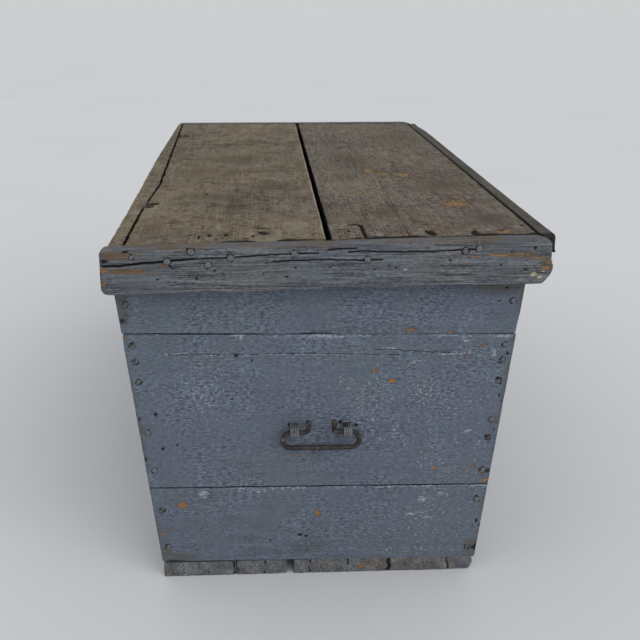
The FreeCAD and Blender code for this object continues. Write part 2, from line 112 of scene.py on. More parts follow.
# Marks on the near end wall: y, z and half sizes.
END_BARE = (
    (-67, 283, 3.4, 3.2), (-89, 270, 6.0, 2.6), (-146, 149, 2.2, 3.6), (-214, 131, 4, 2.4),
    (-197, 150, 3.0, 2.6), (240, 331, 4, 5), (176, 104, 6.5, 4.2), (178, 118, 2.0, 1.8),
    (3, 88, 4.2, 3.8), (204, 64, 3.4, 2.4), (28, 171, 2.2, 2.2),
)
END_RUBBED = (
    (-112, 337, 10, 3.4), (-103, 336, 5, 3), (-160, 333, 5, 2.4), (-202, 315, 5, 2.4),
    (-185, 300, 4, 3), (52, 272, 2, 1.8), (-208, 142, 5, 6), (-196, 322, 4, 2.4),
)
END_CREAM = (
    (-179, 322, 6, 2.6), (-186, 200, 6, 4), (-120, 296, 9, 3), (150, 120, 7, 6), (-215, 305, 3, 6),
    (100, 128, 14, 5), (-47, 214, 4, 3), (-86, 312, 22, 2.2), (-160, 305, 24, 2.2), (-18, 328, 20, 2.0),
    (-135, 105, 9, 4), (-117, 84, 6, 3), (-144, 78, 7, 3), (-160, 112, 10, 4), (175, 309, 16, 1.6),
    (35, 307.5, 45, 1.8), (80, 121, 14, 4),
)
# Dark pits; the three at z 211 to 215 beside the handle's staples are painted shade cast by the staples,
# mixed with dirt.
END_HOLES_AND_SHADE = (
    (205, 230, 2.4), (85, 299, 1.6), (104, 306, 2.2), (110, 249, 1.5), (198, 183, 2.2), (180, 188, 1.5),
    (65, 50, 1.7), (26, 57, 3.4, 1.6), (18, 55, 3.0, 1.4), (-226, 389, 1.8), (-218, 372, 1.4),
    (-222, 292, 1.5), (-25, 215, 2.6), (-45, 211, 2.4), (39, 213, 2.4), (-243, 297, 6, 3.5),
)
END_CRACKS = (
    ((188, 308), (90, 307), (20, 308), (-40, 306), (-98, 304)),
    ((-67, 311), (-95, 311), (-125, 308), (-169, 306)),
)
END_SCUFF = (
    (-10, 327, 110, 4), (40, 320, 60, 4), (-60, 323, 50, 5), (-30, 307, 60, 4), (-150, 116, 60, 9),
    (60, 121, 45, 5), (-150, 250, 70, 70), (-160, 170, 70, 45), (-140, 80, 80, 40), (-150, 60, 60, 30),
    (-110, 34, 90, 7), (150, 250, 60, 50), (-60, 240, 70, 60), (-190, 352, 40, 6), (-120, 190, 60, 40),
)
END_GRIME = (
    (184, 28, 32, 9), (200, 38, 12, 8), (-200, 35, 14, 14), (-215, 395, 40, 12), (238, 365, 8, 22),
    (-190, 402, 50, 5), (-222, 215, 9, 8), (-238, 270, 6, 8),
)

# Marks on the lid: x, y and half sizes.
LID_BARE = (
    (-97, -104, 20, 13), (-119, -121, 13, 8), (-135, -156, 19, 17), (84, -180, 16, 12),
    (47, -228, 16, 9), (-379, -196, 28, 21), (-289, -70, 13, 6), (-300, -172, 13, 5),
    (-564, -104, 13, 3.4), (-519, -143, 8, 5), (-562, -222, 11, 9), (-555, 5, 9, 3.4), (311, 84, 20, 9),
    (415, 74, 17, 6), (-330, -208, 10, 8), (-105, -183, 10, 5), (-48, -251, 11, 7),
)
LID_HOLES = (
    (-560, -135, 16, 5.5), (-549, -131, 9, 3), (-566, -187, 15, 6), (-556, -190, 16, 2.2),
    (140, -172, 9, 3), (-544, 135, 9, 2.4), (-543, 114, 9, 2.6), (-510, 70, 4, 12), (-536, 70, 9, 6),
    (-540, 160, 3, 5), (-552, 146, 12, 1.4), (251, 133, 12, 2.6), (-273, 151, 7, 2), (-352, 228, 13, 5),
    (-338, 222, 7, 8), (378, 238, 22, 5), (395, 228, 6, 8),
)
LID_SCRATCHES = (
    ((-193, -110), (-306, -111), (-470, -108), (-567, -107)),
    ((-98, -100), (-190, -103), (-300, -101), (-476, -107)),
    ((-60, -128), (-170, -141), (-260, -148)),
    ((-295, 121), (-265, 78), (-223, 33), (-168, -10)),
    ((-350, 226), (-338, 204), (-336, 183)),
    ((-524, 83), (-533, 73), (-530, 63)),
    ((-550, 81), (-548, 69), (-541, 65)),
)
LID_STAINS = (
    (-70, 173, 54, 66), (-220, 63, 40, 40), (-292, 146, 36, 43), (69, 110, 79, 71), (32, -85, 116, 47),
    (315, -210, 104, 60), (-233, -205, 69, 45), (-426, -96, 57, 40), (-482, -218, 49, 25),
    (-496, 211, 58, 20), (-80, 110, 30, 110), (-400, 112, 150, 7), (-535, 68, 26, 14),
    (-540, 115, 25, 14), (-150, -60, 60, 30),
)
LID_PALE = (
    (-152, 155, 31, 15), (-558, 175, 11, 8), (-576, 140, 7, 12), (73, 154, 24, 12), (-16, 11, 29, 12),
    (-55, -27, 35, 9), (406, -73, 33, 21), (-574, 60, 8, 60),
)
# The hooked gouge by the lid's gap: where its groove stops, its front and back, and the line of its hook.
LID_GROOVE_STOP = -505
LID_GROOVE = (-57, -47)
LID_HOOK = ((-507, -37), (-499, -45), (-505, -55))

# Marks on the near cleat: y, z and half sizes.
CLEAT_SPLIT = (
    (262, 427), (235, 427.5), (205, 431), (181, 432.5), (150, 435), (108, 436.5), (70, 439),
    (32, 440.5), (5, 441),
)
CLEAT_CRACKS = (
    ((183, 432), (178, 427), (172, 423)),
    ((-30, 442), (-50, 443), (-90, 441.5), (-130, 442), (-166, 443.5), (-185, 444)),
    ((60, 431), (3, 433), (-47, 432), (-70, 432.5)),
    ((-5, 445), (-40, 446.5)),
)
CLEAT_FINE_CRACKS = (
    ((150, 429), (120, 431), (60, 432.5), (10, 434)),
    ((165, 422), (133, 422), (110, 423)),
    ((153, 446), (118, 446)),
    ((255, 398), (190, 399.5), (60, 401), (-90, 404), (-230, 407)),
    ((-60, 420), (-120, 422), (-180, 425)),
)
CLEAT_BARE = (
    (-205, 437, 20, 1.8), (-235, 438, 18, 2.2), (-252, 433, 18, 2), (-268, 428, 7, 3.6),
    (-264, 421, 6, 3), (-60, 432, 7, 1.6), (-180, 435, 9, 1.4), (-5, 446, 5, 1.2), (22, 447, 6, 1.2),
    (242, 445, 24, 1.4), (218, 423, 16, 1.6),
)
CLEAT_CREAM = ((-250, 413, 5, 2.6), (-258, 410, 4, 2), (-262, 417, 3, 1.8), (-97, 421, 3, 1.4))
CLEAT_BROWN = (
    (243, 439, 36, 7), (225, 421, 40, 4), (258, 405, 6, 10), (186, 427, 7, 3.4), (170, 448, 90, 2),
    (30, 450, 110, 1.6), (-230, 436, 30, 3), (-265, 425, 9, 8),
)
CLEAT_HOLES = (
    (192, 411, 1.6), (155, 415.5, 1.5), (147, 412, 1.8), (126, 421, 1.5), (116, 417, 1.4),
    (70, 417, 1.2), (32, 424, 1.6), (42, 413, 2.2, 1.2), (-8, 424, 1.5), (-60, 421, 1.4),
    (-86, 423, 1.6), (-78, 425, 1.3), (-150, 431, 1.6), (-210, 425, 1.6), (-240, 419, 2.4, 1.2),
    (228, 444, 4, 1.8), (-250, 445, 2.2), (-222, 441, 1.6), (254, 433, 6, 2.4),
)

# Where some wear starts, and the width in which it grows. The lid's nicks and scrapes, along -x:
NICKED, SCRAPED = (470, 60), (490, 60)
# The front strip's broken far end along x and z, dark near end along -x, and the crevice along y where its
# back face is painted with shade:
STRIP_BROKEN, STRIP_BROKEN_TOP = (430, 90), (436, 8)
STRIP_DARK, STRIP_CREVICE_SHADE = (565, 14), (-264.5, 2)
# Its rounded edge, along -y and z:
STRIP_FRONT, STRIP_TOP = (268, 6), (434, 4)
# The cleats' bare rear end along y, and the heights where it is bare with their reach:
CLEAT_REAR = (243, 11)
CLEAT_REAR_BARE = ((422, 6), (405, 4))

# The cleats' front end: its cut corner and the length that is broken, and by height its split, the wood that
# is set back above the split and the wood that sags.
CLEAT_CORNER, CLEAT_BROKEN = 13.0, 26
CLEAT_END_SPLIT, CLEAT_SET_BACK, CLEAT_SAG = 416, (417, 3), (430, 16)

# On the base boards' near ends: cracks by y and width, and chips by y, z and half sizes.
BASE_BARE = ((-55, 9, 7, 4), (-70, 12, 4, 3))
BASE_CRACKS = ((110.5, 1.5), (73, 0.5), (13, 0.6), (-91, 1.9), (-169, 0.7), (-36, 0.4))


def box_mm(node):
    """A node's box: its low and its high corner, in millimetres."""
    low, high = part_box(node)
    return np.array(low) / MM, np.array(high) / MM


def lattice(cell, seed):
    """A repeatable number from 0 to 1 for each whole-numbered cell."""
    mixed = (cell @ HASH + seed * HASH_SEED) & WORD
    mixed = ((mixed ^ (mixed >> 13)) * HASH_MIX) & WORD
    return ((mixed ^ (mixed >> 16)) & 0xFFFF) / 0xFFFF


def noise(points, size, seed):
    """Smooth noise from -1 to 1, with a feature size for each axis."""
    place = points / np.asarray(size, float)
    cell = np.floor(place).astype(np.int64)
    part = place - cell
    part = part * part * (3 - 2 * part)
    total = np.zeros(len(points))
    for corner in itertools.product((0, 1), repeat=3):
        weight = np.prod(np.where(corner, part, 1 - part), axis=1)
        total += weight * lattice(cell + np.array(corner), seed)
    return 2 * total - 1


def rough(points, size, seed, octaves=3):
    """Noise with finer and weaker noise added to it."""
    size = np.asarray(size, float)
    total = sum(noise(points, size / 2**step, seed + step) / 2**step for step in range(octaves))
    return total / 1.5


def patchy(points, size, seed, level, steep):
    """Ragged spots from 0 to 1, where noise passes a level."""
    return np.clip(steep * (noise(points, size, seed) - level), 0, 1)


def bell(distance, width):
    """1 at no distance, falling off within about a width."""
    return np.exp(-((distance / width) ** 2))


def rise(value, start, width):
    """0 up to start, 1 from a width beyond it, straight between."""
    return np.clip((value - start) / width, 0, 1)


def follow(x, table):
    """A table's second column at each x, straight between its rows."""
    return np.interp(x, [row[0] for row in table], [row[1] for row in table])


def warp(points):
    """Lift points of the lid with its warp."""
    lifted = np.array(points, float)
    lift = np.interp(lifted[:, 0], (-CLEAT_FACE, CLEAT_FACE), WARP)
    lifted[:, 2] += lift * (HINGE_Y - lifted[:, 1]) / LID_REACH
    return lifted


def lines(low, high, step, dense):
    """Grid lines between two bounds, closer together near both and in the dense stretches."""
    rim = RIM[RIM < (high - low) * 0.3]
    inner = np.linspace(low + rim[-1], high - rim[-1], max(2, round((high - low) / step)))
    for start, stop, fine in dense:
        outside = (inner < start - fine / 2) | (inner > stop + fine / 2)
        inner = np.sort(np.concatenate([inner[outside], np.arange(start, stop, fine)]))
    return np.concatenate([[low], low + rim[:-1], inner, high - rim[:-1][::-1], [high]])


def slab(bounds, steps, flat=(), dense=EVEN):
    """Points over a block's six sides, their faces, and each face's side.

    Sides count 0 to 5: low and high on each axis. A side in flat has one large face inside its rim.
    """
    axes = [lines(low, high, step, more) for (low, high), step, more in zip(bounds, steps, dense)]
    shape = tuple(len(axis) for axis in axes)
    faces = []
    sides = []
    for side in range(6):
        axis, end = divmod(side, 2)
        u, v = (axis + 1) % 3, (axis + 2) % 3

        def at(i, j):
            index = [None] * 3
            index[axis] = np.full_like(i, (shape[axis] - 1) * end)
            index[u], index[v] = i, j
            return np.ravel_multi_index(index, shape)

        i, j = np.meshgrid(np.arange(shape[u] - 1), np.arange(shape[v] - 1), indexing="ij")
        i, j = i.ravel(), j.ravel()
        made = []
        if side in flat:
            rim = len(RIM)
            far_i, far_j = shape[u] - 1 - rim, shape[v] - 1 - rim
            outside = (i < rim) | (i >= far_i) | (j < rim) | (j >= far_j)
            i, j = i[outside], j[outside]
            across, up = np.arange(rim, far_i), np.arange(rim, far_j)
            right, left = np.full_like(up, far_i), np.full_like(up, rim)
            bottom, top = np.full_like(across, rim), np.full_like(across, far_j)
            loop_i = np.concatenate([across, right, across[::-1] + 1, left])
            loop_j = np.concatenate([bottom, up, top, up[::-1] + 1])
            made.append(at(loop_i, loop_j).tolist())
        made += np.stack([at(i, j), at(i + 1, j), at(i + 1, j + 1), at(i, j + 1)], axis=1).tolist()
        faces += made if end else [face[::-1] for face in made]
        sides += [side] * len(made)
    used = np.unique(np.concatenate([np.array(face) for face in faces]))
    renumber = np.zeros(math.prod(shape), int)
    renumber[used] = np.arange(len(used))
    faces = [renumber[face].tolist() for face in faces]
    spots = np.unravel_index(used, shape)
    return np.stack([axis[spot] for axis, spot in zip(axes, spots)], axis=1), faces, sides


def soften(points, bounds, radius):
    """Round a block's edges by a radius for each point. Gives the points and the way out of each."""
    low, high = np.array(bounds, float).T
    radius = np.clip(radius, 0.3, 0.42 * (high - low).min())[:, None]
    core = np.clip(points, low + radius, high - radius)
    out = points - core
    out /= np.linalg.norm(out, axis=1, keepdims=True)
    return core + out * radius, out


class Marks:
    """Wear on the points of a board: fields for its material, and how far each point sinks.

    Spots and strokes lie on the side that faces the weather, by the two coordinates along it.
    """

    def __init__(self, points, out, edge, facing):
        self.points = points
        self.edge = edge
        self.facing = np.clip(out @ facing, 0, 1)
        self.flat = points[:, [axis for axis in range(3) if not facing[axis]]]
        self.sink = np.zeros(len(points))
        self.fields = {name: np.zeros(len(points)) for name in FIELDS}

    def add(self, shape, sink=0.0, everywhere=False, **amounts):
        shape = shape if everywhere else shape * self.facing
        self.sink += sink * shape
        for name, amount in amounts.items():
            self.fields[name] = np.maximum(self.fields[name], amount * shape)

    def spots(self, rows, soft=0.5, sink=0.0, **amounts):
        """Patches given by two coordinates and two half sizes, or one for a round spot."""
        for row in rows:
            wide, high = row[2], row[-1]
            reach = np.hypot((self.flat[:, 0] - row[0]) / wide, (self.flat[:, 1] - row[1]) / high)
            self.add(np.clip((1 + soft - reach) / (2 * soft), 0, 1), sink, **amounts)

    def strokes(self, paths, width, sink, seed, **amounts):
        """Cracks and scratches along broken lines."""
        wander = 0.6 * np.stack([noise(self.points, 9, seed), noise(self.points, 6, seed + 1)], axis=1)
        for path in paths:
            path = np.array(path, float)
            gap = np.full(len(self.flat), np.inf)
            for start, stop in zip(path, path[1:]):
                run = stop - start
                share = np.clip((self.flat - start) @ run / (run @ run), 0, 1)
                away = self.flat + wander - start - share[:, None] * run
                gap = np.minimum(gap, np.linalg.norm(away, axis=1))
            self.add(np.clip(1.5 - gap / width, 0, 1), sink, **amounts)

    def joint(self, gap, strength, stretch, seed):
        """A broken line of dirt where two boards meet, by each point's distance from it."""
        broken = strength * (0.85 + 0.6 * noise(self.points, stretch, seed))
        self.add(bell(gap, 0.95) * np.clip(broken, 0, 1.2), everywhere=True, dirt=0.95)

    def rim(self, width, seed, **amounts):
        """Wear that follows the board's edges, in patches."""
        patch = 0.6 + 0.55 * rough(self.points, 35, seed)
        self.add(np.exp(-self.edge / width) * np.clip(patch, 0, 1.2), everywhere=True, **amounts)


def link(name, data):
    """A new object in the scene."""
    made = bpy.data.objects.new(name, data)
    bpy.context.scene.collection.objects.link(made)
    return made


def make(name, points, faces, materials):
    """A smooth object from points in millimetres."""
    mesh = bpy.data.meshes.new(name)
    mesh.from_pydata((points * MM).tolist(), [], faces)
    for material in materials:
        mesh.materials.append(material)
    mesh.polygons.foreach_set("use_smooth", [True] * len(mesh.polygons))
    mesh.update()
    return link(name, mesh)


def fit(piece, body, slot, *nodes):
    """Let a piece ride on a body in place of the frame's nodes."""
    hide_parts(*nodes)
    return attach(piece, body)


def board(node, body, slot, bounds, steps, place, facing, wear, materials, flat, edge, chips, seed,
          dense=EVEN, rim=1):
    """A worn board in place of a node.

    place turns the block's own coordinates into real ones, facing is its weathered side and wear adds
    its marks. materials holds the finish, then the raw wood, which is shown on the flat sides, and on
    their rims if rim is 1. edge is the radius of its edges, or gives it for each point, and chips weighs
    their dents.
    """
    points, faces, sides = slab(bounds, steps, flat, dense)
    low, high = np.array(bounds, float).T
    depth = np.sort(np.minimum(points - low, high - points), axis=1)[:, 1]
    real = place(points)
    dents = np.clip(rough(real, 16, seed), 0, None) ** 2 * 2.5
    dents += np.clip(noise(real, 48, seed + 9) - 0.45, 0, None) * 9
    points, out = soften(points, bounds, (edge(real) if callable(edge) else edge) + chips * dents)
    marks = Marks(place(points), out, depth, facing)
    wear(marks, seed)
    still = np.zeros(len(points), bool)
    for side in flat:
        axis, end = divmod(side, 2)
        still |= out[:, axis] * (2 * end - 1) > 0.9
    marks.sink[still] = 0
    piece = make(f"{node}_worn", place(points - out * marks.sink[:, None]), faces, materials)
    for name, values in marks.fields.items():
        field = piece.data.attributes.new(name, "FLOAT", "POINT")
        field.data.foreach_set("value", values.astype(np.float32))
    raw = [(1 if len(face) > 4 else rim) if side in flat else 0 for face, side in zip(faces, sides)]
    piece.data.polygons.foreach_set("material_index", raw)
    return fit(piece, body, slot, node)


def wrap(count, sides, closed=False):
    """Faces round a row of rings, of which the last meets the first if closed."""
    faces = []
    for step in range(count if closed else count - 1):
        here, there = step * sides, (step + 1) % count * sides
        for k in range(sides):
            after = (k + 1) % sides
            faces.append([here + k, here + after, there + after, there + k])
    return faces


def tube(path, wide, high=None, sides=10, closed=False, seed=0, hammer=0.1):
    """Points and faces of a forged bar along a path, with a width and height at each of its points."""
    path = np.array(path, float)
    count = len(path)
    wide = np.broadcast_to(wide, count)
    high = wide if high is None else np.broadcast_to(high, count)
    if closed:
        ahead = np.roll(path, -1, axis=0) - np.roll(path, 1, axis=0)
    else:
        ahead = np.gradient(path, axis=0)
    ahead /= np.linalg.norm(ahead, axis=1, keepdims=True)
    side = np.cross(ahead[0], X if abs(ahead[0][0]) < 0.8 else Z)
    angles = np.arange(sides) * math.tau / sides
    rings = []
    for step in range(count):
        side = side - ahead[step] * (side @ ahead[step])
        side /= np.linalg.norm(side)
        other = np.cross(ahead[step], side)
        ring = np.outer(np.cos(angles) * wide[step], side) + np.outer(np.sin(angles) * high[step], other)
        rings.append(path[step] + ring * (1 + hammer * rough(path[step] + ring, 4.5, seed, 2)[:, None]))
    faces = wrap(count, sides, closed)
    if not closed:
        faces.append(list(range(sides))[::-1])
        faces.append([(count - 1) * sides + k for k in range(sides)])
    return np.concatenate(rings), faces


def gather(parts):
    """Several meshes' points and faces as one."""
    points = []
    faces = []
    for more, shape in parts:
        start = sum(len(block) for block in points)
        points.append(more)
        faces += [[start + k for k in face] for face in shape]
    return np.concatenate(points), faces


def arc(centre, first, second, start, stop, count):
    """Points round a centre, from one angle to another, in the plane of two radii."""
    angles = np.linspace(start, stop, count)[:, None]
    return np.array(centre) + np.cos(angles) * np.array(first) + np.sin(angles) * np.array(second)


def resample(points, count):
    """Evenly spread points along a broken line."""
    points = np.array(points, float)
    run = np.concatenate([[0], np.cumsum(np.linalg.norm(np.diff(points, axis=0), axis=1))])
    spots = np.linspace(0, run[-1], count)
    return np.stack([np.interp(spots, run, points[:, k]) for k in range(3)], axis=1)


def forge(node, body, bars, finish):
    """Iron in place of a node, from its bars' points and faces."""
    return fit(make(f"{node}_forged", *gather(bars), [finish]), body, "wrought_iron", node)


def islands(node):
    """The separate solids of a node, each as its points in millimetres."""
    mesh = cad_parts[node].data
    points = np.array([vertex.co for vertex in mesh.vertices]) / MM
    _, same = np.unique(points.round(2), axis=0, return_inverse=True)
    same = same.ravel()
    label = np.arange(same.max() + 1)
    edges = same[np.array([edge.vertices[:] for edge in mesh.edges])]
    while True:
        lowest = np.minimum(label[edges[:, 0]], label[edges[:, 1]])
        before = label.copy()
        np.minimum.at(label, edges[:, 0], lowest)
        np.minimum.at(label, edges[:, 1], lowest)
        if (before == label).all():
            break
    return [points[label[same] == one] for one in np.unique(label)]


def heads(node, axis, sign):
    """Where each nail of a node comes out of the wood: the middle of its head, at the head's foot."""
    spots = []
    for solid in islands(node):
        outer = solid[:, axis] * sign
        centre = solid[outer > outer.max() - 0.1].mean(axis=0)
        centre[axis] = (outer.max() - HEAD_HEIGHT[node]) * sign
        spots.append(centre)
    return np.array(spots)


def nail_head(centre, axis, sign, radius, height, seed):
    """A hammered head in a ragged ring of grime, which is its first faces."""
    rng = np.random.default_rng(seed)
    angles = np.arange(NAIL_SIDES) * math.tau / NAIL_SIDES + rng.uniform(0, math.tau)
    out = np.eye(3)[axis] * sign
    first = np.eye(3)[(axis + 1) % 3]
    second = np.cross(out, first)
    tilt = rng.uniform(-0.12, 0.12, 2)
    rings = []
    for share, lift in NAIL_PROFILE:
        ragged = 0.15 if share > 1.3 else 0.08
        reach = radius * share * (1 + ragged * rng.standard_normal(NAIL_SIDES) * (share > 0.5))
        up = height * lift + 0.12 * height * rng.standard_normal(NAIL_SIDES) * (lift > 0.5)
        flat = np.outer(np.cos(angles) * reach, first) + np.outer(np.sin(angles) * reach, second)
        lean = np.cos(angles) * reach * tilt[0] + np.sin(angles) * reach * tilt[1]
        rings.append(centre + flat + np.outer(up + lean * (lift > 0.2), out))
    faces = wrap(len(rings), NAIL_SIDES)
    faces.append([(len(rings) - 1) * NAIL_SIDES + k for k in range(NAIL_SIDES)])
    return np.concatenate(rings), faces


class Shade:
    """The nodes of a material or a world, built up step by step on object coordinates in metres."""

    def __init__(self, owner):
        owner.use_nodes = True
        self.owner = owner
        self.tree = owner.node_tree
        self.colour = None

    def feed(self, node, inputs):
        """Link or set a node's inputs."""
        for name, value in inputs.items():
            socket = node.inputs[name]
            if isinstance(value, bpy.types.NodeSocket):
                self.tree.links.new(value, socket)
            else:
                socket.default_value = (*value, 1.0) if socket.type == "RGBA" else value

    def node(self, kind, output, inputs=None, **settings):
        """One output of a new node with its inputs fed."""
        made = self.tree.nodes.new(f"ShaderNode{kind}")
        for name, value in settings.items():
            setattr(made, name, value)
        self.feed(made, inputs or {})
        return made.outputs[output]

    def place(self):
        return self.node("TexCoord", "Object")

    def stretch(self, scale, shift=(0.0, 0.0, 0.0)):
        return self.node("VectorMath", 0, {0: self.place(), 1: scale, 2: shift}, operation="MULTIPLY_ADD")

    def noise(self, scale, detail, roughness, vector=None, twist=0.0):
        inputs = {"Vector": vector or self.place(), "Scale": scale, "Detail": detail}
        return self.node("TexNoise", "Fac", {**inputs, "Roughness": roughness, "Distortion": twist})

    def field(self, name):
        return self.node("Attribute", "Fac", attribute_name=name)

    def math(self, kind, first, second=0.0):
        return self.node("Math", 0, {0: first, 1: second}, operation=kind)

    def total(self, *terms):
        """A weighted sum of (value, weight) pairs."""
        result = 0.0
        for value, weight in terms:
            result = self.math("ADD", self.math("MULTIPLY", value, weight), result)
        return result

    def swing(self, start, *terms):
        """A start value with weighted noises added, each taken from its middle."""
        middle = 0.5 * sum(weight for _, weight in terms)
        start = start - middle if isinstance(start, float) else self.math("SUBTRACT", start, middle)
        return self.math("ADD", self.total(*terms), start)

    def band(self, value, low, high, top=1.0, kind="SMOOTHSTEP"):
        """0 below low, top above high, smooth between."""
        inputs = {"Value": value, "From Min": low, "From Max": high, "To Max": top}
        return self.node("MapRange", "Result", inputs, interpolation_type=kind)

    def mix(self, share, first, second):
        return self.node("Mix", 2, {0: share, 6: first, 7: second}, data_type="RGBA")

    def cover(self, over, value, low, high, top=1.0):
        """Lay a colour over the one so far where a value passes a band. Gives its share."""
        share = self.band(value, low, high, top)
        self.colour = self.mix(share, self.colour, over)
        return share

    def ramp(self, tone, deep, middle, pale):
        """From deep through middle to pale as the tone goes from 0 to 1."""
        lower = self.mix(self.band(tone, 0.0, 0.5, kind="LINEAR"), deep, middle)
        return self.mix(self.band(tone, 0.5, 1.0, kind="LINEAR"), lower, pale)

    def tones(self, tone, colour, deep, pale, fade=0.0):
        """From a deep share of a colour to a pale one. fade makes the pale greyer, and the deep less so."""
        return self.ramp(tone, dim(colour, deep, -fade), colour, dim(colour, pale, fade))

    def finish(self, roughness, height, distance, metallic=0.0, gloss=0.5):
        normal = self.node("Bump", "Normal", {"Distance": distance, "Height": height})
        inputs = {"Base Color": self.colour, "Roughness": roughness, "Metallic": metallic, "Normal": normal}
        self.feed(self.tree.nodes["Principled BSDF"], {**inputs, "Specular IOR Level": gloss})
        return self.owner


def srgb(*levels):
    """A colour as written, with levels from 11 to 255, made linear."""
    return tuple(((level / 255 + 0.055) / 1.055) ** 2.4 for level in levels)


def dim(colour, share, grey=0.0):
    """A share of a colour, moved towards grey, or away from it below 0."""
    middle = sum(colour) / 3
    return tuple(share * (c + grey * (middle - c)) for c in colour)


def along(grain, small):
    """A scale that draws features out along the grain axis."""
    return tuple(small if axis == grain else 1.0 for axis in range(3))


def weathered(name, grain, paint, stain, wood, fresh, fleck, sparse, grit, fibre, blotch, size=400.0,
              brushed=0.4, hues=0.5, ragged=0.9, gloss=0.25, fade=0.0):
    """Old thin paint on pine: mottled, rubbed to the wood at the edges and chipped to fresh wood.

    stain tints some of the paint, and fleck is the colour of its pale flecks, fewer the higher sparse is.
    grit, fibre, blotch and hues weigh its fine mottling, its grain, broad patches and stain. size is the
    mottling's scale, and brushed below 1 draws it out along the grain, above 1 across it. ragged breaks up
    the chips, and fade makes the pale tones greyer and the dark ones less so.
    """
    shade = Shade(bpy.data.materials.new(name))
    broad = shade.noise(7.0, 3, 0.55)
    cloud = shade.noise(42.0, 4, 0.6)
    mottle = shade.noise(size, 3, 0.7, shade.stretch(along(grain, brushed)))
    speck = shade.noise(2.1 * size, 2, 0.7)
    hair = shade.noise(650.0, 3, 0.65, shade.stretch(along(grain, 0.025)), 0.3)
    streak = shade.noise(90.0, 3, 0.6, shade.stretch(along(grain, 0.08)))
    flecks = shade.noise(400.0, 2, 0.65, shade.stretch(along(grain, 0.55), (3.1, 1.7, 2.3)))
    uneven = shade.noise(15.0, 4, 0.6, shade.stretch((1.0, 1.0, 1.0), (1.3, 4.1, 0.9)))

    fine = shade.swing(0.0, (mottle, 1.7 * grit), (speck, 1.2 * grit), (hair, 1.6 * fibre))
    fine = shade.math("MULTIPLY", fine, shade.math("ADD", shade.band(uneven, 0.36, 0.62, 0.9), 0.48))
    tone = shade.swing(fine, (broad, 0.8 * blotch), (cloud, 0.9 * blotch), (streak, 0.6 * fibre))
    tone = shade.math("ADD", tone, 0.5)
    shade.colour = shade.tones(tone, paint, 0.4, 1.8, fade)
    stained = shade.tones(tone, stain, 0.4, 1.8, fade)
    shade.cover(stained, shade.swing(broad, (cloud, 0.25)), 0.4, 0.62, hues)
    shade.cover(dim(paint, 0.35), flecks, 0.36, 0.28, 0.6)

    tint = shade.swing(shade.field("tint"), (cloud, 0.9), (mottle, 0.8), (streak, 0.9))
    shade.cover(dim(wood, 0.55), tint, 0.3, 0.8, 0.6)
    # Chalk and pale flecks; the chalk field also carries painted highlight along the lid's gap.
    chalk = shade.total((flecks, 1.0), (shade.field("chalk"), 0.4), (cloud, 0.3))
    chalk = shade.cover(fleck, chalk, 0.84 + sparse, 0.92 + sparse, 0.75)
    timber = shade.tones(shade.swing(0.5, (hair, 1.6), (speck, 0.9)), wood, 0.35, 1.5)
    worn = shade.swing(shade.field("worn"), (hair, 1.1), (cloud, 0.7), (mottle, 0.7))
    worn = shade.cover(timber, worn, 0.4, 0.66, 0.9)

    sawn = shade.tones(shade.swing(0.5, (hair, 0.9), (speck, 1.4), (mottle, 0.9)), fresh, 0.3, 1.5)
    chip = shade.swing(shade.field("bare"), (speck, ragged), (mottle, ragged), (hair, 0.4 * fibre))
    shade.cover(dim(paint, 0.3), chip, 0.32, 0.47, 0.5)
    bare = shade.cover(sawn, chip, 0.47, 0.58, 0.95)
    # Dark dirt, which also carries painted shade in gaps, crevices, the groove and beside the staples.
    dirt = shade.swing(shade.field("dirt"), (speck, 0.6))
    dirt = shade.cover(srgb(23, 21, 20), dirt, 0.32, 0.6, 0.95)

    height = shade.total(
        (hair, 0.6 * fibre), (mottle, 0.5 * grit), (speck, 0.25 * grit), (cloud, 0.25),
        (chalk, 0.04), (bare, -0.12), (worn, -0.06), (dirt, -0.2),
    )
    sheen = shade.total((speck, 0.25), (cloud, 0.15), (worn, 0.1), (bare, 0.1))
    return shade.finish(shade.math("ADD", sheen, 0.55), height, 0.0025, gloss=gloss)


def raw_pine(name, grain):
    """Unpainted boards inside the trunk: browned pine with rings, knots of colour and dust."""
    shade = Shade(bpy.data.materials.new(name))
    rings = shade.noise(26.0, 3, 0.5, shade.stretch(along(grain, 0.05)), 0.8)
    bands = shade.math("FRACT", shade.math("MULTIPLY", rings, 9.0))
    fibre = shade.noise(280.0, 4, 0.6, shade.stretch(along(grain, 0.03)))
    cloud = shade.noise(9.0, 4, 0.6)
    shade.colour = srgb(122, 97, 70)
    shade.cover(srgb(144, 118, 88), bands, 0.15, 0.85)
    shade.cover(srgb(86, 66, 47), fibre, 0.5, 0.32, 0.6)
    shade.cover(srgb(106, 91, 74), cloud, 0.42, 0.7, 0.6)
    height = shade.total((bands, 0.35), (fibre, 0.6))
    return shade.finish(shade.math("ADD", shade.math("MULTIPLY", fibre, 0.3), 0.58), height, 0.0007)


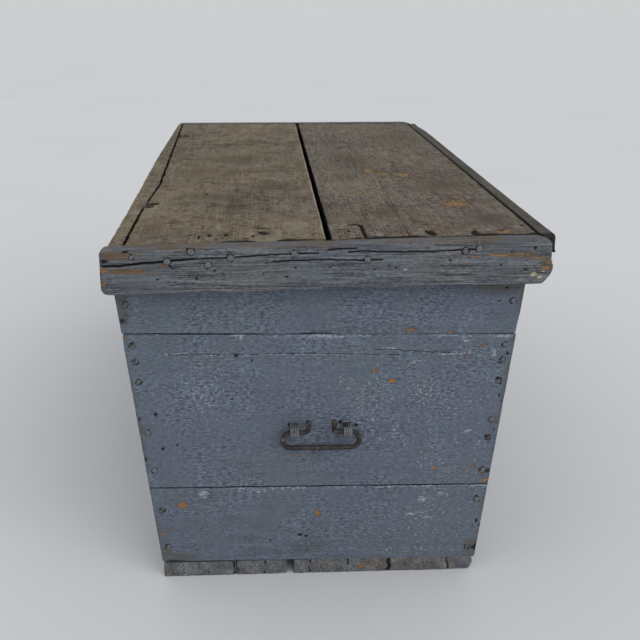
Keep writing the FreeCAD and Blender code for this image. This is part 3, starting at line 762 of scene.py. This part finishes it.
def end_grain_wood(name):
    """Grey unpainted base boards: pores on the sawn ends, checks, ground-in dirt and painted shade under the
    wall.
    """
    shade = Shade(bpy.data.materials.new(name))
    pores = shade.noise(760.0, 3, 0.75, shade.stretch(along(0, 0.1)))
    cloud = shade.noise(55.0, 4, 0.6)
    mottle = shade.noise(300.0, 4, 0.75)
    tone = shade.swing(0.46, (pores, 2.4), (cloud, 1.0), (mottle, 1.3))
    shade.colour = shade.ramp(tone, srgb(44, 45, 47), srgb(90, 93, 98), srgb(146, 149, 152))
    browned = shade.ramp(tone, srgb(50, 44, 38), srgb(98, 90, 78), srgb(142, 132, 116))
    shade.cover(browned, shade.noise(17.0, 2, 0.5), 0.5, 0.62, 0.45)
    worn = shade.swing(shade.field("worn"), (cloud, 0.9), (pores, 0.6))
    shade.cover(srgb(120, 111, 96), worn, 0.45, 0.62, 0.8)
    shade.cover(srgb(128, 92, 56), shade.swing(shade.field("bare"), (pores, 0.8)), 0.46, 0.56)
    dirt = shade.swing(shade.field("dirt"), (pores, 0.5))
    dirt = shade.cover(srgb(22, 21, 20), dirt, 0.34, 0.6, 0.95)
    height = shade.total((pores, 0.7), (mottle, 0.4), (dirt, -0.5))
    sheen = shade.math("ADD", shade.math("MULTIPLY", pores, 0.3), 0.6)
    return shade.finish(sheen, height, 0.002, gloss=0.25)


def forged(name, iron, rust, paint, painted):
    """Old wrought iron: dark scale, rust in the hollows and remains of paint."""
    shade = Shade(bpy.data.materials.new(name))
    lumps = shade.noise(150.0, 4, 0.6)
    grit = shade.noise(700.0, 3, 0.65)
    cloud = shade.noise(90.0, 3, 0.6, shade.stretch((1.0, 1.0, 1.0), (0.7, 1.9, 0.4)))
    shade.colour = iron
    shade.cover(dim(iron, 1.7), lumps, 0.4, 0.62)
    rusty = shade.cover(rust, shade.total((lumps, 0.6), (grit, 0.6)), 0.58, 0.74, 0.8)
    remains = shade.tones(shade.swing(0.5, (grit, 1.2)), paint, 0.5, 1.5)
    coat = shade.total((cloud, 0.8), (grit, 0.35))
    coat = shade.cover(remains, coat, 0.68 - painted, 0.76 - painted, 0.9)
    height = shade.total((lumps, 0.7), (grit, 0.35), (coat, 0.15))
    sheen = shade.total((rusty, 0.25), (grit, 0.2), (coat, 0.1))
    bright = shade.math("MULTIPLY", shade.math("SUBTRACT", 1.0, shade.math("MAXIMUM", rusty, coat)), 0.5)
    return shade.finish(shade.math("ADD", sheen, 0.45), height, 0.001, bright)


SLATE = srgb(90, 98, 112)
SLATE_STAIN = srgb(85, 95, 103)
SLATE_FLECK = srgb(150, 158, 167)
RUBBED = srgb(88, 86, 80)
FRESH_PINE = srgb(140, 100, 60)
IRON = srgb(44, 41, 39)
RUST = srgb(84, 58, 42)

OLD_PINE = srgb(130, 102, 74)
WALL_LOOK = {"sparse": 0.02, "grit": 1.12, "fibre": 0.4}
WALL_COLOURS = (SLATE, SLATE_STAIN, RUBBED, FRESH_PINE, SLATE_FLECK)
LID_CHIP = srgb(134, 110, 79)
LID_FLECK = srgb(150, 143, 130)
LID_LOOK = {"sparse": 0.03, "ragged": 1.3, "gloss": 0.05, "fade": 0.5}

end_paint = weathered("end_paint", 1, *WALL_COLOURS, blotch=0.25, **WALL_LOOK)
wall_paint = weathered("wall_paint", 0, *WALL_COLOURS, blotch=0.4, **WALL_LOOK)
lid_paint = weathered(
    "lid_paint", 0, srgb(103, 95, 86), srgb(99, 91, 75), srgb(86, 74, 55), LID_CHIP, LID_FLECK,
    grit=1.3, fibre=1.1, blotch=1.3, size=120.0, brushed=1.8, hues=0.7, **LID_LOOK,
)
lid_rear_paint = weathered(
    "lid_rear_paint", 0, srgb(107, 98, 86), srgb(105, 93, 71), srgb(86, 73, 52), LID_CHIP, LID_FLECK,
    grit=1.0, fibre=0.8, blotch=1.6, size=100.0, brushed=2.2, hues=0.9, **LID_LOOK,
)
cleat_paint = weathered(
    "cleat_paint", 1, srgb(88, 93, 101), srgb(91, 89, 86), srgb(98, 81, 63), OLD_PINE, srgb(184, 174, 140),
    sparse=0.12, grit=0.8, fibre=1.5, blotch=0.35,
)
strip_paint = weathered(
    "strip_paint", 0, srgb(75, 70, 64), srgb(71, 67, 57), srgb(82, 72, 59), OLD_PINE, srgb(130, 124, 112),
    sparse=0.06, grit=1.2, fibre=1.2, blotch=0.8, size=250.0,
)
inner_x = raw_pine("raw_pine_long", 0)
inner_y = raw_pine("raw_pine_cross", 1)
base_wood = end_grain_wood("base_end_grain")
panel_nail = forged("panel_nail", IRON, RUST, srgb(97, 101, 107), 0.20)
cleat_nail = forged("cleat_nail", IRON, RUST, srgb(97, 100, 105), 0.22)
strip_nail = forged("strip_nail", IRON, RUST, srgb(86, 82, 78), 0.10)
grime = forged("nail_grime", srgb(30, 28, 26), srgb(46, 38, 32), srgb(60, 60, 60), 0.0)
bail_iron = forged("bail_iron", srgb(40, 38, 37), srgb(70, 56, 48), srgb(80, 84, 88), 0.02)
staple_iron = forged("staple_iron", srgb(54, 53, 52), srgb(76, 66, 58), srgb(102, 108, 110), 0.2)
pin_iron = forged("pin_iron", srgb(46, 43, 40), RUST, srgb(96, 90, 82), 0.10)

_, wall_high = box_mm("left_end_bottom_board")
top_low, top_high = box_mm("left_end_top_board")
lid_low, lid_high = box_mm("lid_front_board")
rear_low, _ = box_mm("lid_rear_board")
LID_GAP_Y = (lid_high[1] + rear_low[1]) / 2
SLOPE = (top_high[1] - wall_high[1]) / (top_high[2] - wall_high[2])


def half(z):
    """The case's half width at a height."""
    return top_high[1] + SLOPE * (z - top_high[2])


def below_top(points):
    """How far points of the warped lid lie below its top."""
    return lid_high[2] + warp(points)[:, 2] - 2 * points[:, 2]


def scatter(rng, count, across, up, wide, high):
    """Patches at random: two coordinates and two half sizes."""
    rows = []
    for _ in range(count):
        place = rng.uniform(*across), rng.uniform(*up)
        rows.append((*place, rng.uniform(0.4, 1) * wide, rng.uniform(0.4, 1) * high))
    return rows


def end_wear(side, marks, seed):
    """An end wall's board: the marks of the photograph on the left end, its like on the right."""
    points = marks.points
    nails = heads(f"{side}_end_nails", 0, END_X[side])
    y, z = points[:, 1], points[:, 2]
    inward = half(z) - np.abs(y)
    marks.sink += 0.2 * rough(points, (30, 150, 5), seed) + 0.12 * rough(points, (9, 9, 7), seed + 3)
    marks.sink += 0.5 * np.clip(noise(points, (40, 160, 90), seed + 5), 0, 1)
    marks.spots([(*spot[1:], 6.0) for spot in nails], 0.6, 0.3, worn=0.3)
    marks.spots([(*spot[1:], 4.3) for spot in nails], 0.3, dirt=0.6)
    marks.rim(3.0, seed, chalk=0.35)
    for joint, strength in ((wall_high[2], 1.0), (top_low[2], follow(y, TOP_JOINT_DIRT))):
        gap = z - joint - y * follow(joint, TILT)
        marks.joint(gap, strength, (50, 14, 50), seed + 11)
        pale = bell(gap + 2, 3) * (0.6 + noise(points, (50, 25, 50), seed + 12))
        marks.add(pale * (y < 110), chalk=0.7)
    marks.add(follow(z, GRIME), tint=1.0)
    outer = np.exp(-inward / 7) * (0.75 + 0.6 * rough(points, 20, seed + 7))
    marks.add(np.clip(outer, 0, 1.1), worn=0.7, tint=0.9)
    pitted = patchy(points, (9, 5, 8), seed + 13, 0.34, 5) * np.clip(1.3 - inward / 13, 0, 1)
    marks.add(pitted * np.where(y < 0, 1.0, 0.7), 1.2, dirt=0.8)
    if side == "left":
        marks.spots(END_BARE, 1.0, 0.4, bare=0.95)
        marks.spots(END_RUBBED, 1.0, 0.3, bare=0.68)
        marks.spots(END_CREAM, 0.8, chalk=0.75)
        marks.spots(END_HOLES_AND_SHADE, 0.5, 1.2, dirt=1.0)
        marks.spots(END_SCUFF, 0.9, chalk=0.34)
        marks.spots(END_GRIME, 0.8, worn=0.6, tint=0.9)
        marks.strokes(END_CRACKS, 1.7, 0.2, seed, chalk=0.5)
        marks.strokes(END_CRACKS, 0.6, 0.5, seed, dirt=0.7)
    else:
        rng = np.random.default_rng(seed)
        area = (-215, 215), (30, 400)
        marks.spots(scatter(rng, 14, *area, 9, 5), 1.0, 0.4, bare=0.95)
        marks.spots(scatter(rng, 12, *area, 70, 40), 0.9, chalk=0.3)
        marks.spots(scatter(rng, 9, *area, 2.6, 2.6), 0.5, 1.2, dirt=1.0)


def long_wear(marks, seed):
    """A board of the front or back wall."""
    points = marks.points
    marks.sink += 0.3 * rough(points, (180, 30, 6), seed) + 0.15 * rough(points, (12, 9, 8), seed + 3)
    marks.rim(4, seed, chalk=0.4, worn=0.5)
    marks.add(follow(points[:, 2], GRIME), tint=1.0)
    for joint in (wall_high[2], top_low[2]):
        marks.joint(points[:, 2] - joint, 1.0, (14, 50, 50), seed + 11)
    rng = np.random.default_rng(seed)
    area = (-540, 540), (30, 415)
    marks.spots(scatter(rng, 12, *area, 12, 5), 1.0, 0.4, bare=0.95)
    marks.spots(scatter(rng, 16, *area, 120, 14), 0.9, chalk=0.3)
    marks.spots(scatter(rng, 8, *area, 90, 30), 0.9, tint=0.7)
    marks.spots(scatter(rng, 12, *area, 3, 3), 0.5, 1.2, dirt=1.0)


def lid_wear(marks, seed):
    """A board of the lid."""
    points = marks.points
    x, y = points[:, 0], points[:, 1]
    from_end = LID_END - np.abs(x)
    marks.sink += 0.35 * rough(points, (120, 9, 30), seed) + 0.25 * rough(points, (14, 8, 9), seed + 3)
    marks.rim(4.5, seed, worn=0.55, dirt=0.2)
    split = np.abs(HINGE_Y + REAR_OVERHANG - follow(x, SPLIT) - SPLIT_GAP / 2 - y)
    gap = np.minimum(split, 0.6 * np.abs(y - lid_low[1] + 1))
    seam = np.clip(1.5 - gap / 2.2, 0, 1) * (0.8 + 0.4 * noise(points, 12, seed + 6))
    marks.add(seam, everywhere=True, dirt=0.8)
    marks.spots(LID_BARE, 1.0, 0.3, bare=0.8)
    marks.spots(LID_HOLES, 0.6, 1.5, dirt=0.85)
    marks.spots(LID_STAINS, 1.0, tint=0.65)
    marks.spots(LID_PALE, 0.9, chalk=0.4)
    marks.strokes(LID_SCRATCHES, 1.6, 0.4, seed, dirt=0.5)
    ends = np.clip(1 - from_end / 20, 0, 1) * (0.7 + 0.5 * rough(points, 20, seed + 4))
    marks.add(np.clip(ends, 0, 1), worn=0.6)
    butted = follow(y, BUTT_DIRT) + 0.9 * noise(points, (30, 22, 30), seed + 8)
    marks.add(np.clip(butted * np.exp(-from_end / 10), 0, 1), 0.6, dirt=0.85)
    # Painted shade on the boards' sides deep in the gap between the lid boards.
    shade_in_gap = rise(below_top(points), 1.4, 1.5) * (np.abs(y - LID_GAP_Y) < 6)
    marks.add(shade_in_gap, everywhere=True, dirt=1.2)
    # Painted highlight: the rear board's edge along the gap is made pale as if lit.
    pale = bell(y - rear_low[1] - 1.5, 1.3) * (0.75 + 0.6 * noise(points, (40, 9, 9), seed + 16))
    marks.add(np.clip(pale, 0, 1), chalk=1.5)
    nicks = patchy(points, (12, 9, 30), seed + 12, 0.62, 4) * rise(-x, *NICKED)
    marks.add(nicks, 1.2, dirt=0.8)
    scraped = patchy(points, (16, 12, 30), seed + 14, 0.6, 4) * rise(-x, *SCRAPED)
    marks.add(scraped, 0.4, bare=0.8)
    front, back = LID_GROOVE
    middle, reach = (front + back) / 2, (back - front) / 2
    groove = np.clip(1.6 - 1.6 * np.abs(y - middle) / reach, 0, 1) * rise(-x, -LID_GROOVE_STOP - 5, 10)
    marks.add(groove, 3.0)
    # Painted shade down the groove's front side; its back slope is bare wood.
    marks.add(groove * (y < middle + 0.5) * (y > front), dirt=0.95)
    marks.add(groove * (y > middle - 0.5), bare=0.7)
    marks.strokes((LID_HOOK,), 2.0, 1.5, seed, dirt=0.95)


def strip_wear(marks, seed):
    """The strip along the lid's front edge."""
    points = marks.points
    x, y, z = points.T
    marks.sink += 0.5 * rough(points, (150, 5, 5), seed)
    marks.rim(3.5, seed, worn=0.6)
    broken = rise(x, *STRIP_BROKEN) * rise(z, *STRIP_BROKEN_TOP)
    marks.sink += broken * (2.0 + 2.0 * rough(points, 18, seed + 1))
    marks.add(np.clip(0.35 + rough(points, (120, 9, 9), seed + 2), 0, 1), everywhere=True, worn=0.6)
    marks.add(rise(-x, *STRIP_DARK), everywhere=True, dirt=0.55, worn=0.6)
    # Painted shade on the strip's back face, down in the crevice by the front board.
    marks.add(rise(y, *STRIP_CREVICE_SHADE), everywhere=True, dirt=0.85)


def cleat_wear(side, marks, seed):
    """A cleat across the lid's end."""
    points = marks.points
    nails = warp(heads(f"lid_{side}_cleat_nails", 0, END_X[side]))
    x, y, z = points.T
    marks.sink += 0.3 * rough(points, (30, 160, 2.6), seed) + 0.2 * rough(points, (9, 30, 5), seed + 3)
    marks.rim(3.0, seed, worn=0.45)
    top = np.exp(-np.clip(below_top(points), 0, None) / 3)
    top *= 0.75 + 0.6 * rough(points, (20, 40, 9), seed + 8)
    marks.add(np.clip(top, 0, 1), everywhere=True, worn=0.6)
    marks.spots([(*spot[1:], 6.4) for spot in nails], 0.4, 0.4, worn=0.2)
    marks.spots([(*spot[1:], 4.7) for spot in nails if spot[1] < FAINT_NAIL_Y], 0.25, dirt=0.8)
    marks.strokes(CLEAT_FINE_CRACKS, 0.6, 0.4, seed, dirt=0.5)
    marks.strokes((CLEAT_SPLIT, *CLEAT_CRACKS), 0.8, 2.0, seed + 1, dirt=1.0)
    marks.strokes((CLEAT_SPLIT[:5],), 1.25, 2.5, seed + 1, dirt=1.0)
    marks.spots(CLEAT_HOLES, 0.6, 1.0, dirt=0.9)
    marks.spots(CLEAT_BARE, 0.9, 0.4, bare=0.75)
    marks.spots(CLEAT_CREAM, 0.7, chalk=1.3)
    rear_end = sum(bell(z - height, reach) for height, reach in CLEAT_REAR_BARE)
    marks.add(rise(y, *CLEAT_REAR) * rear_end, everywhere=True, bare=0.8)
    marks.spots(CLEAT_BROWN, 0.8, 0.2, worn=0.8)
    # Painted shade on the cleat's inner face where it shows through the gap between the lid boards.
    shade_behind_gap = bell(y - LID_GAP_Y, 7) * (np.abs(x) < LID_END + 6)
    marks.add(shade_behind_gap, everywhere=True, dirt=1.2)


def base_wear(marks, seed):
    """The sawn end of a base board."""
    points = marks.points
    marks.sink += 0.5 * rough(points, (60, 6, 5), seed)
    for y, width in BASE_CRACKS:
        bend = y + 2.2 * noise(points, (30, 1e6, 7), seed + int(y))
        gap = np.abs(points[:, 1] - bend)
        marks.add(np.clip(1.5 - gap / (width * 1.2), 0, 1), 3.0, dirt=1.0)
    marks.spots(BASE_BARE, 0.8, bare=0.7)
    marks.rim(4, seed, worn=0.4)
    # Painted shade, with some dirt, along the top of the board's end under the wall.
    shade_under_wall = rise(points[:, 2], 15.5, 4) * (0.45 + 0.4 * noise(points, 12, seed))
    marks.add(shade_under_wall, dirt=0.7)


def gouge(piece, notch):
    """Cut the hinges' hand-gouged notches out of a board's edge."""
    for side in ENDS:
        middle = END_X[side] * HINGE_X
        bounds = ((middle - NOTCH_HALF, middle + NOTCH_HALF), *notch)
        points, faces, _ = slab(bounds, (3, 3, 3))
        points, out = soften(points, bounds, np.full(len(points), 1.5))
        cutter = make("notch", points + 0.35 * out * rough(points, 5, 77)[:, None], faces, [inner_x])
        cut = piece.modifiers.new("notch", "BOOLEAN")
        cut.operation = "DIFFERENCE"
        cut.object = cutter
        bpy.context.view_layer.update()
        shaped = piece.evaluated_get(bpy.context.evaluated_depsgraph_get())
        made = bpy.data.meshes.new_from_object(shaped)
        piece.modifiers.remove(cut)
        piece.data = made
        bpy.data.objects.remove(cutter)


def build_walls():
    for side in ENDS:
        fine = 2.2 if side == "left" else 4.6
        for order, tier in enumerate(TIERS):
            node = f"{side}_end_{tier}_board"
            low, high = box_mm(node)
            middle = half((low[2] + high[2]) / 2)

            def place(points):
                y = points[:, 1] * half(points[:, 2]) / middle
                return np.stack([points[:, 0], y, points[:, 2] + y * follow(points[:, 2], TILT)], axis=1)

            bounds = ((low[0], high[0]), (-middle, middle), (low[2], high[2]))
            seed = 20 + 7 * order + 50 * (side == "right")
            cracked = ((300, 314, 0.75),) if node == "left_end_middle_board" else ()
            board(
                node, "case", "painted_wall", bounds, (6, fine, fine), place, X * END_X[side],
                partial(end_wear, side), (end_paint, inner_y), INNER_SIDE[side], 0.9, 1.1, seed,
                ((), (), cracked),
            )
    for wall, sign in (("front", -1), ("back", 1)):
        for order, tier in enumerate(TIERS):
            node = f"{wall}_{tier}_board"
            low, high = box_mm(node)

            def place(points):
                x, y, z = points.T
                return np.stack([x, sign * half(z) + y, z], axis=1)

            inward = (-WALL_THICK, 0.0) if sign > 0 else (0.0, WALL_THICK)
            bounds = ((low[0], high[0]), inward, (low[2], high[2]))
            seed = 140 + 7 * order + 50 * (sign > 0)
            piece = board(
                node, "case", "painted_wall", bounds, (6, 6, 5), place, Y * sign, long_wear,
                (wall_paint, inner_x), (2,) if sign > 0 else (3,), 1.0, 0.6, seed,
            )
            if node == "back_top_board":
                gouge(piece, WALL_NOTCH)

    def base_edge(points):
        return 1.2 + 6 * np.exp(-(half(0) + points[:, 1]) / 5)

    for order, row in enumerate(("rear", "middle", "front")):
        node = f"base_{row}_board"
        board(
            node, "case", "base_wood", tuple(zip(*box_mm(node))), (30, 1.8, 1.4), lambda points: points, -X,
            base_wear, (base_wood, inner_x), (4, 5), base_edge, 0.7, 300 + order, rim=0,
        )


def build_lid():
    rear = box_mm("lid_hinge_strip")[1][1]
    widest = max(row[1] for row in SPLIT)

    def ragged(x, size, seed):
        return rough(np.stack([x, 0 * x, 0 * x], axis=1), size, seed)

    def lid_board(node, place, steps, wear, finish, seed, facing=Z, flat=(4,), edge=1.4, chips=0.6,
                  dense=EVEN):
        low, high = box_mm(node)
        if node == "lid_hinge_strip":
            low[1] = rear - widest
        return board(
            node, "lid", "lid_wood", tuple(zip(low, high)), steps, lambda points: warp(place(points)),
            facing, wear, (finish, inner_x), flat, edge, chips, seed, dense,
        )

    def between(points, first, second, start, stop):
        """Points with y moved from between two values to between two others, for each point."""
        share = (points[:, 1] - first) / (second - first)
        return np.stack([points[:, 0], start + share * (stop - start), points[:, 2]], axis=1)

    low, high = box_mm("lid_rear_board")

    def place_rear(points):
        x = points[:, 0]
        edge = rear - follow(x, SPLIT) - SPLIT_GAP - 2.6 * np.abs(ragged(x, 14, 5))
        return between(points, low[1], high[1], low[1] + 0.5 * ragged(x, 30, 8), edge)

    def place_hinge_strip(points):
        x = points[:, 0]
        inner = rear - follow(x, SPLIT) + 0.6 * np.abs(ragged(x, 14, 6))
        outer = rear - follow(x, REAR_WEAR) - 0.8 * np.abs(ragged(x, 40, 7))
        return between(points, rear - widest, rear, inner, outer)

    def place_front(points):
        back = lid_high[1] + 0.5 * ragged(points[:, 0], 30, 9)
        return between(points, lid_low[1], lid_high[1], lid_low[1], back)

    near = ((-577, -482, 2.3),)
    by_groove = ((-62, -34, 1.2),)
    steps = (4.2, 3.4, 5)
    lid_board("lid_rear_board", place_rear, steps, lid_wear, lid_rear_paint, 401, dense=(near, (), ()))
    lid_board("lid_front_board", place_front, steps, lid_wear, lid_paint, 402, dense=(near, by_groove, ()))
    strip = lid_board(
        "lid_hinge_strip", place_hinge_strip, (4, 2.4, 4), lid_wear, lid_rear_paint, 403,
        edge=1.5, chips=0.8,
    )
    gouge(strip, LID_NOTCH)

    front_low, front_high = box_mm("lid_front_strip")

    def place_front_strip(points):
        x = points[:, 0]
        inner = front_high[1] - follow(x, STRIP_GAP) + 0.8 * ragged(x, 30, 14)
        return between(points, front_low[1], front_high[1], front_low[1] - follow(x, STRIP_BOW), inner)

    def strip_edge(points):
        return 1.6 + 5.0 * (rise(-points[:, 1], *STRIP_FRONT) * rise(points[:, 2], *STRIP_TOP))

    lid_board(
        "lid_front_strip", place_front_strip, (4.2, 2.2, 2.2), strip_wear, strip_paint, 411,
        -Y, (), strip_edge, 0.9,
    )

    for side in ENDS:
        node = f"lid_{side}_cleat"
        low, high = box_mm(node)

        def place_cleat(points):
            x, y, z = points.T
            foot = np.interp(y, [low[1], low[1] + CLEAT_CORNER], [low[2] + CLEAT_CORNER, low[2]])
            share = (z - low[2]) / (high[2] - low[2])
            z = foot + share * (high[2] - foot)
            end = rise(-y, -low[1] - CLEAT_BROKEN, CLEAT_BROKEN)
            y = y + end * (2.4 * rise(z, *CLEAT_SET_BACK) + 1.5 * bell(z - CLEAT_END_SPLIT, 1.2))
            z = z - 4.0 * end**2 * rise(z, *CLEAT_SAG)
            return warp(np.stack([x, y, z], axis=1))

        def cleat_edge(points):
            y = points[:, 1]
            return 2.0 + 5.5 * bell(y - high[1], 8) + 4.5 * bell(y - low[1], 8)

        steps = (4, 2.2, 0.9) if side == "left" else (4, 4, 1.8)
        board(
            node, "lid", "painted_cleat", tuple(zip(low, high)), steps, place_cleat, X * END_X[side],
            partial(cleat_wear, side), (cleat_paint, inner_y), INNER_SIDE[side], cleat_edge, 0.8, 420,
            rim=0,
        )


def build_nails():
    for node, body, radius, axis, sign, finish in (
        ("left_end_nails", "case", 3.4, 0, -1, panel_nail),
        ("right_end_nails", "case", 3.4, 0, 1, panel_nail),
        ("lid_left_cleat_nails", "lid", 3.8, 0, -1, cleat_nail),
        ("lid_right_cleat_nails", "lid", 3.8, 0, 1, cleat_nail),
        ("lid_front_strip_nails", "lid", 3.2, 1, -1, strip_nail),
    ):
        spots = heads(node, axis, sign)
        if axis == 1:
            spots[:, 1] -= follow(spots[:, 0], STRIP_BOW)
        if body == "lid":
            spots = warp(spots)
        parts = []
        for k, spot in enumerate(spots):
            flush = 0.65 if finish is cleat_nail and spot[1] > FAINT_NAIL_Y else 1.0
            parts.append(nail_head(spot, axis, sign, radius * flush, HEAD_HEIGHT[node] * flush, 500 + k))
        piece = make(f"{node}_hammered", *gather(parts), [finish, grime])
        rng = np.random.default_rng(560)
        each = len(parts[0][1])
        ring = [int(k % each < NAIL_SIDES and rng.random() < 0.85) for k in range(len(piece.data.polygons))]
        piece.data.polygons.foreach_set("material_index", ring)
        fit(piece, body, "nail_iron", node)
    base_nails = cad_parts["base_nails"]
    base_nails.data.materials.clear()
    base_nails.data.materials.append(strip_nail)


def build_handles():
    axis_z, standoff, lean = 209.0, 15.0, math.radians(20)
    reach, drop, elbow_y, elbow, tip = 37.25, 21.0, 21.0, 5.0, 15.5
    staple_y, loop, sunk, clench = 32, 5.2, 12, 26.4
    for side in ENDS:
        out = END_X[side]
        face = END_FACE * out
        up = np.array([math.sin(lean) * out, 0.0, math.cos(lean)])
        hub = np.array([face + standoff * out, 0.0, axis_z])
        grip = hub + (0, 0, -drop)
        halves = []
        for sign in (-1, 1):
            turn = hub + (0, sign * reach, -drop / 2)
            inner = hub + (0, sign * elbow_y, 0)
            foot = hub + (0, sign * (elbow_y - elbow), 0) + up * elbow
            halves.append(np.concatenate([
                np.linspace(grip, hub + (0, sign * reach, -drop), 16)[1:-1],
                arc(turn, (0, 0, -drop / 2), (0, sign * drop / 2, 0), 0, math.pi, 20),
                np.linspace(hub + (0, sign * reach, 0), inner, 8)[1:-1],
                arc(inner + up * elbow, -up * elbow, (0, -sign * elbow, 0), 0, math.pi / 2, 8),
                np.linspace(foot, foot + up * tip, 8)[1:],
            ]))
        path = np.concatenate([halves[0][::-1], [grip], halves[1]])
        middle = bell(path[:, 1], 34) * (path[:, 2] < axis_z - drop / 2)
        from_tip = np.minimum(np.arange(len(path)), np.arange(len(path))[::-1])
        radius = (3.05 + 0.2 * middle) * np.clip((from_tip + 0.6) / 2, 0.3, 1) * (1 + 0.12 * (from_tip < 5))
        bail = tube(path, radius, sides=18, seed=610 + out)
        forge(f"{side}_handle_bail", f"{side}_handle", [bail], bail_iron)

        parts = []
        for sign in (-1, 1):
            for offset in (-2.9, 0.0, 2.8, 5.3):
                y = sign * (staple_y + offset)
                nose = np.array([face + standoff * out, y, axis_z])
                root = np.array([face - sunk * out, y, axis_z])
                strand = np.concatenate([
                    np.linspace(root + (0, 0, loop), nose + (0, 0, loop), 8)[:-1],
                    arc(nose, (0, 0, loop), (loop * out, 0, 0), 0, math.pi, 14),
                    np.linspace(nose - (0, 0, loop), root - (0, 0, loop), 8)[1:],
                ])
                parts.append(tube(strand, 1.35, 1.5, seed=630 + int(y), hammer=0.12))
            inside = np.array([face - clench * out, sign * staple_y, axis_z])
            for way in (-1, 1):
                path = np.linspace(inside + (0, 0, way * 3), inside + (0, 0, way * 15.4), 6)
                wide, high = [1.5, 1.5, 1.5, 1.4, 1.2, 0.7], [3.8, 3.8, 3.7, 3.4, 2.8, 1.8]
                parts.append(tube(path, wide, high, seed=650))
        forge(f"{side}_handle_staples", "case", parts, staple_iron)


def build_hinges():
    eye, wire, shank, lid_rise = 6.0, 1.9, 2.5, 23.0
    lid_lean, case_lean = math.radians(42), math.radians(50)
    for side in ENDS:
        hub = np.array([END_X[side] * HINGE_X, HINGE_Y, HINGE_Z])
        out = np.array([0, -math.sin(lid_lean), math.cos(lid_lean)])
        top = hub + out * (lid_rise / math.cos(lid_lean))
        loop = arc(hub, (0, eye, 0), (0, 0, eye), 0, math.tau, 33)[:-1]
        long_leg = top + [(-2, 0, -1.4), (2, 0, 0.5), (14, 0.5, 0.9), (30, -0.6, 0.8), (47, 0.4, 0.1)]
        short_leg = top + [(0, 1.5, -1.4), (0.3, -3, 0.6), (0, -9, 0.7), (-0.5, -13.5, 0)]
        bars = [
            tube(loop, wire, closed=True, seed=701),
            tube(np.linspace(hub + out * (eye - 0.5), top, 10), shank, seed=702),
        ]
        for leg, count, wide, thin, seed in ((long_leg, 16, 2.7, 1.5, 703), (short_leg, 10, 2.6, 1.6, 704)):
            width, height = np.linspace(wide, thin, count), np.linspace(1.2, 0.8, count)
            bars.append(tube(resample(leg, count), width, height, seed=seed, hammer=0.15))
        bars = [(warp(points), faces) for points, faces in bars]
        forge(f"{side}_hinge_lid_pin", "lid", bars, pin_iron)

        out = np.array([0, -math.sin(case_lean), -math.cos(case_lean)])
        run = (1.5 + WALL_THICK) / (math.sin(case_lean) - SLOPE * math.cos(case_lean))
        loop = arc(hub + out * eye, out * eye, (eye, 0, 0), 0, math.tau, 33)[:-1]
        inner = hub + out * run + (0, -1.0, 0)
        bent = inner + [(-29, 0.6, 0.8), (-16, 0, 0.3), (0, 0, 0), (15, 0, -0.4), (29, 0.6, 0.5)]
        width = np.interp(np.linspace(-1, 1, 22), [-1, -0.1, 0.1, 1], [1.6, 2.7, 2.7, 1.6])
        bars = [
            tube(loop, wire, closed=True, seed=711),
            tube(np.linspace(hub + out * (2 * eye - 0.5), hub + out * run, 10), shank, seed=712),
            tube(resample(bent, 22), width * 0.42, width, seed=713, hammer=0.12),
        ]
        forge(f"{side}_hinge_case_pin", "case", bars, pin_iron)


def build_stage():
    mesh = bpy.data.meshes.new("floor")
    size = 40.0
    corners = [(-size, -size, 0), (size, -size, 0), (size, size, 0), (-size, size, 0)]
    mesh.from_pydata(corners, [], [(0, 1, 2, 3)])
    floor = link("floor", mesh)
    shade = Shade(bpy.data.materials.new("floor_pale"))
    cloud = shade.noise(1.3, 3, 0.5)
    shade.colour = shade.mix(cloud, srgb(203, 205, 208), srgb(210, 211, 213))
    mesh.materials.append(shade.finish(0.6, cloud, 0.0005))

    sky = Shade(bpy.data.worlds.new("studio"))
    bpy.context.scene.world = sky.owner
    light = sky.tree.nodes["Background"]
    sky.feed(light, {"Color": (0.99, 1.0, 1.01), "Strength": 0.8})
    seen = sky.node("Background", 0, {"Color": srgb(204, 206, 207)})
    direct = sky.node("LightPath", "Is Camera Ray")
    for kind in ("Is Glossy Ray", "Is Transmission Ray"):
        direct = sky.math("MAXIMUM", direct, sky.node("LightPath", kind))
    either = sky.node("MixShader", 0, {0: direct, 1: light.outputs[0], 2: seen})
    sky.feed(sky.tree.nodes["World Output"], {"Surface": either})

    sun = bpy.data.lights.new("window", "SUN")
    sun.energy = 1.25
    sun.angle = math.radians(60)
    shining = Vector((0.78, 0.45, -0.44))
    link("window", sun).rotation_euler = shining.to_track_quat("-Z", "Y").to_euler()
    bpy.context.scene.view_settings.view_transform = "Standard"


def build_camera():
    """The photograph's camera, fitted to the trunk's corners."""
    yaw, pitch, roll = 0.0565, 0.3107, -0.0054
    ahead = Vector((math.cos(pitch) * math.cos(yaw), -math.cos(pitch) * math.sin(yaw), -math.sin(pitch)))
    right = ahead.cross(Vector((0, 0, 1))).normalized()
    down = ahead.cross(right)
    turned_right = math.cos(roll) * right + math.sin(roll) * down
    turned_down = math.cos(roll) * down - math.sin(roll) * right
    camera = link("camera", bpy.data.cameras.new("camera"))
    camera.data.sensor_width = 36.0
    camera.data.lens = 57.0
    stand = Matrix.Translation((-1.7504, 0.06758, 0.72695))
    axes = Matrix((turned_right, -turned_down, -ahead)).transposed()
    camera.matrix_world = stand @ axes.to_4x4()
    bpy.context.scene.camera = camera


build_walls()
build_lid()
build_nails()
build_handles()
build_hinges()
build_stage()
build_camera()
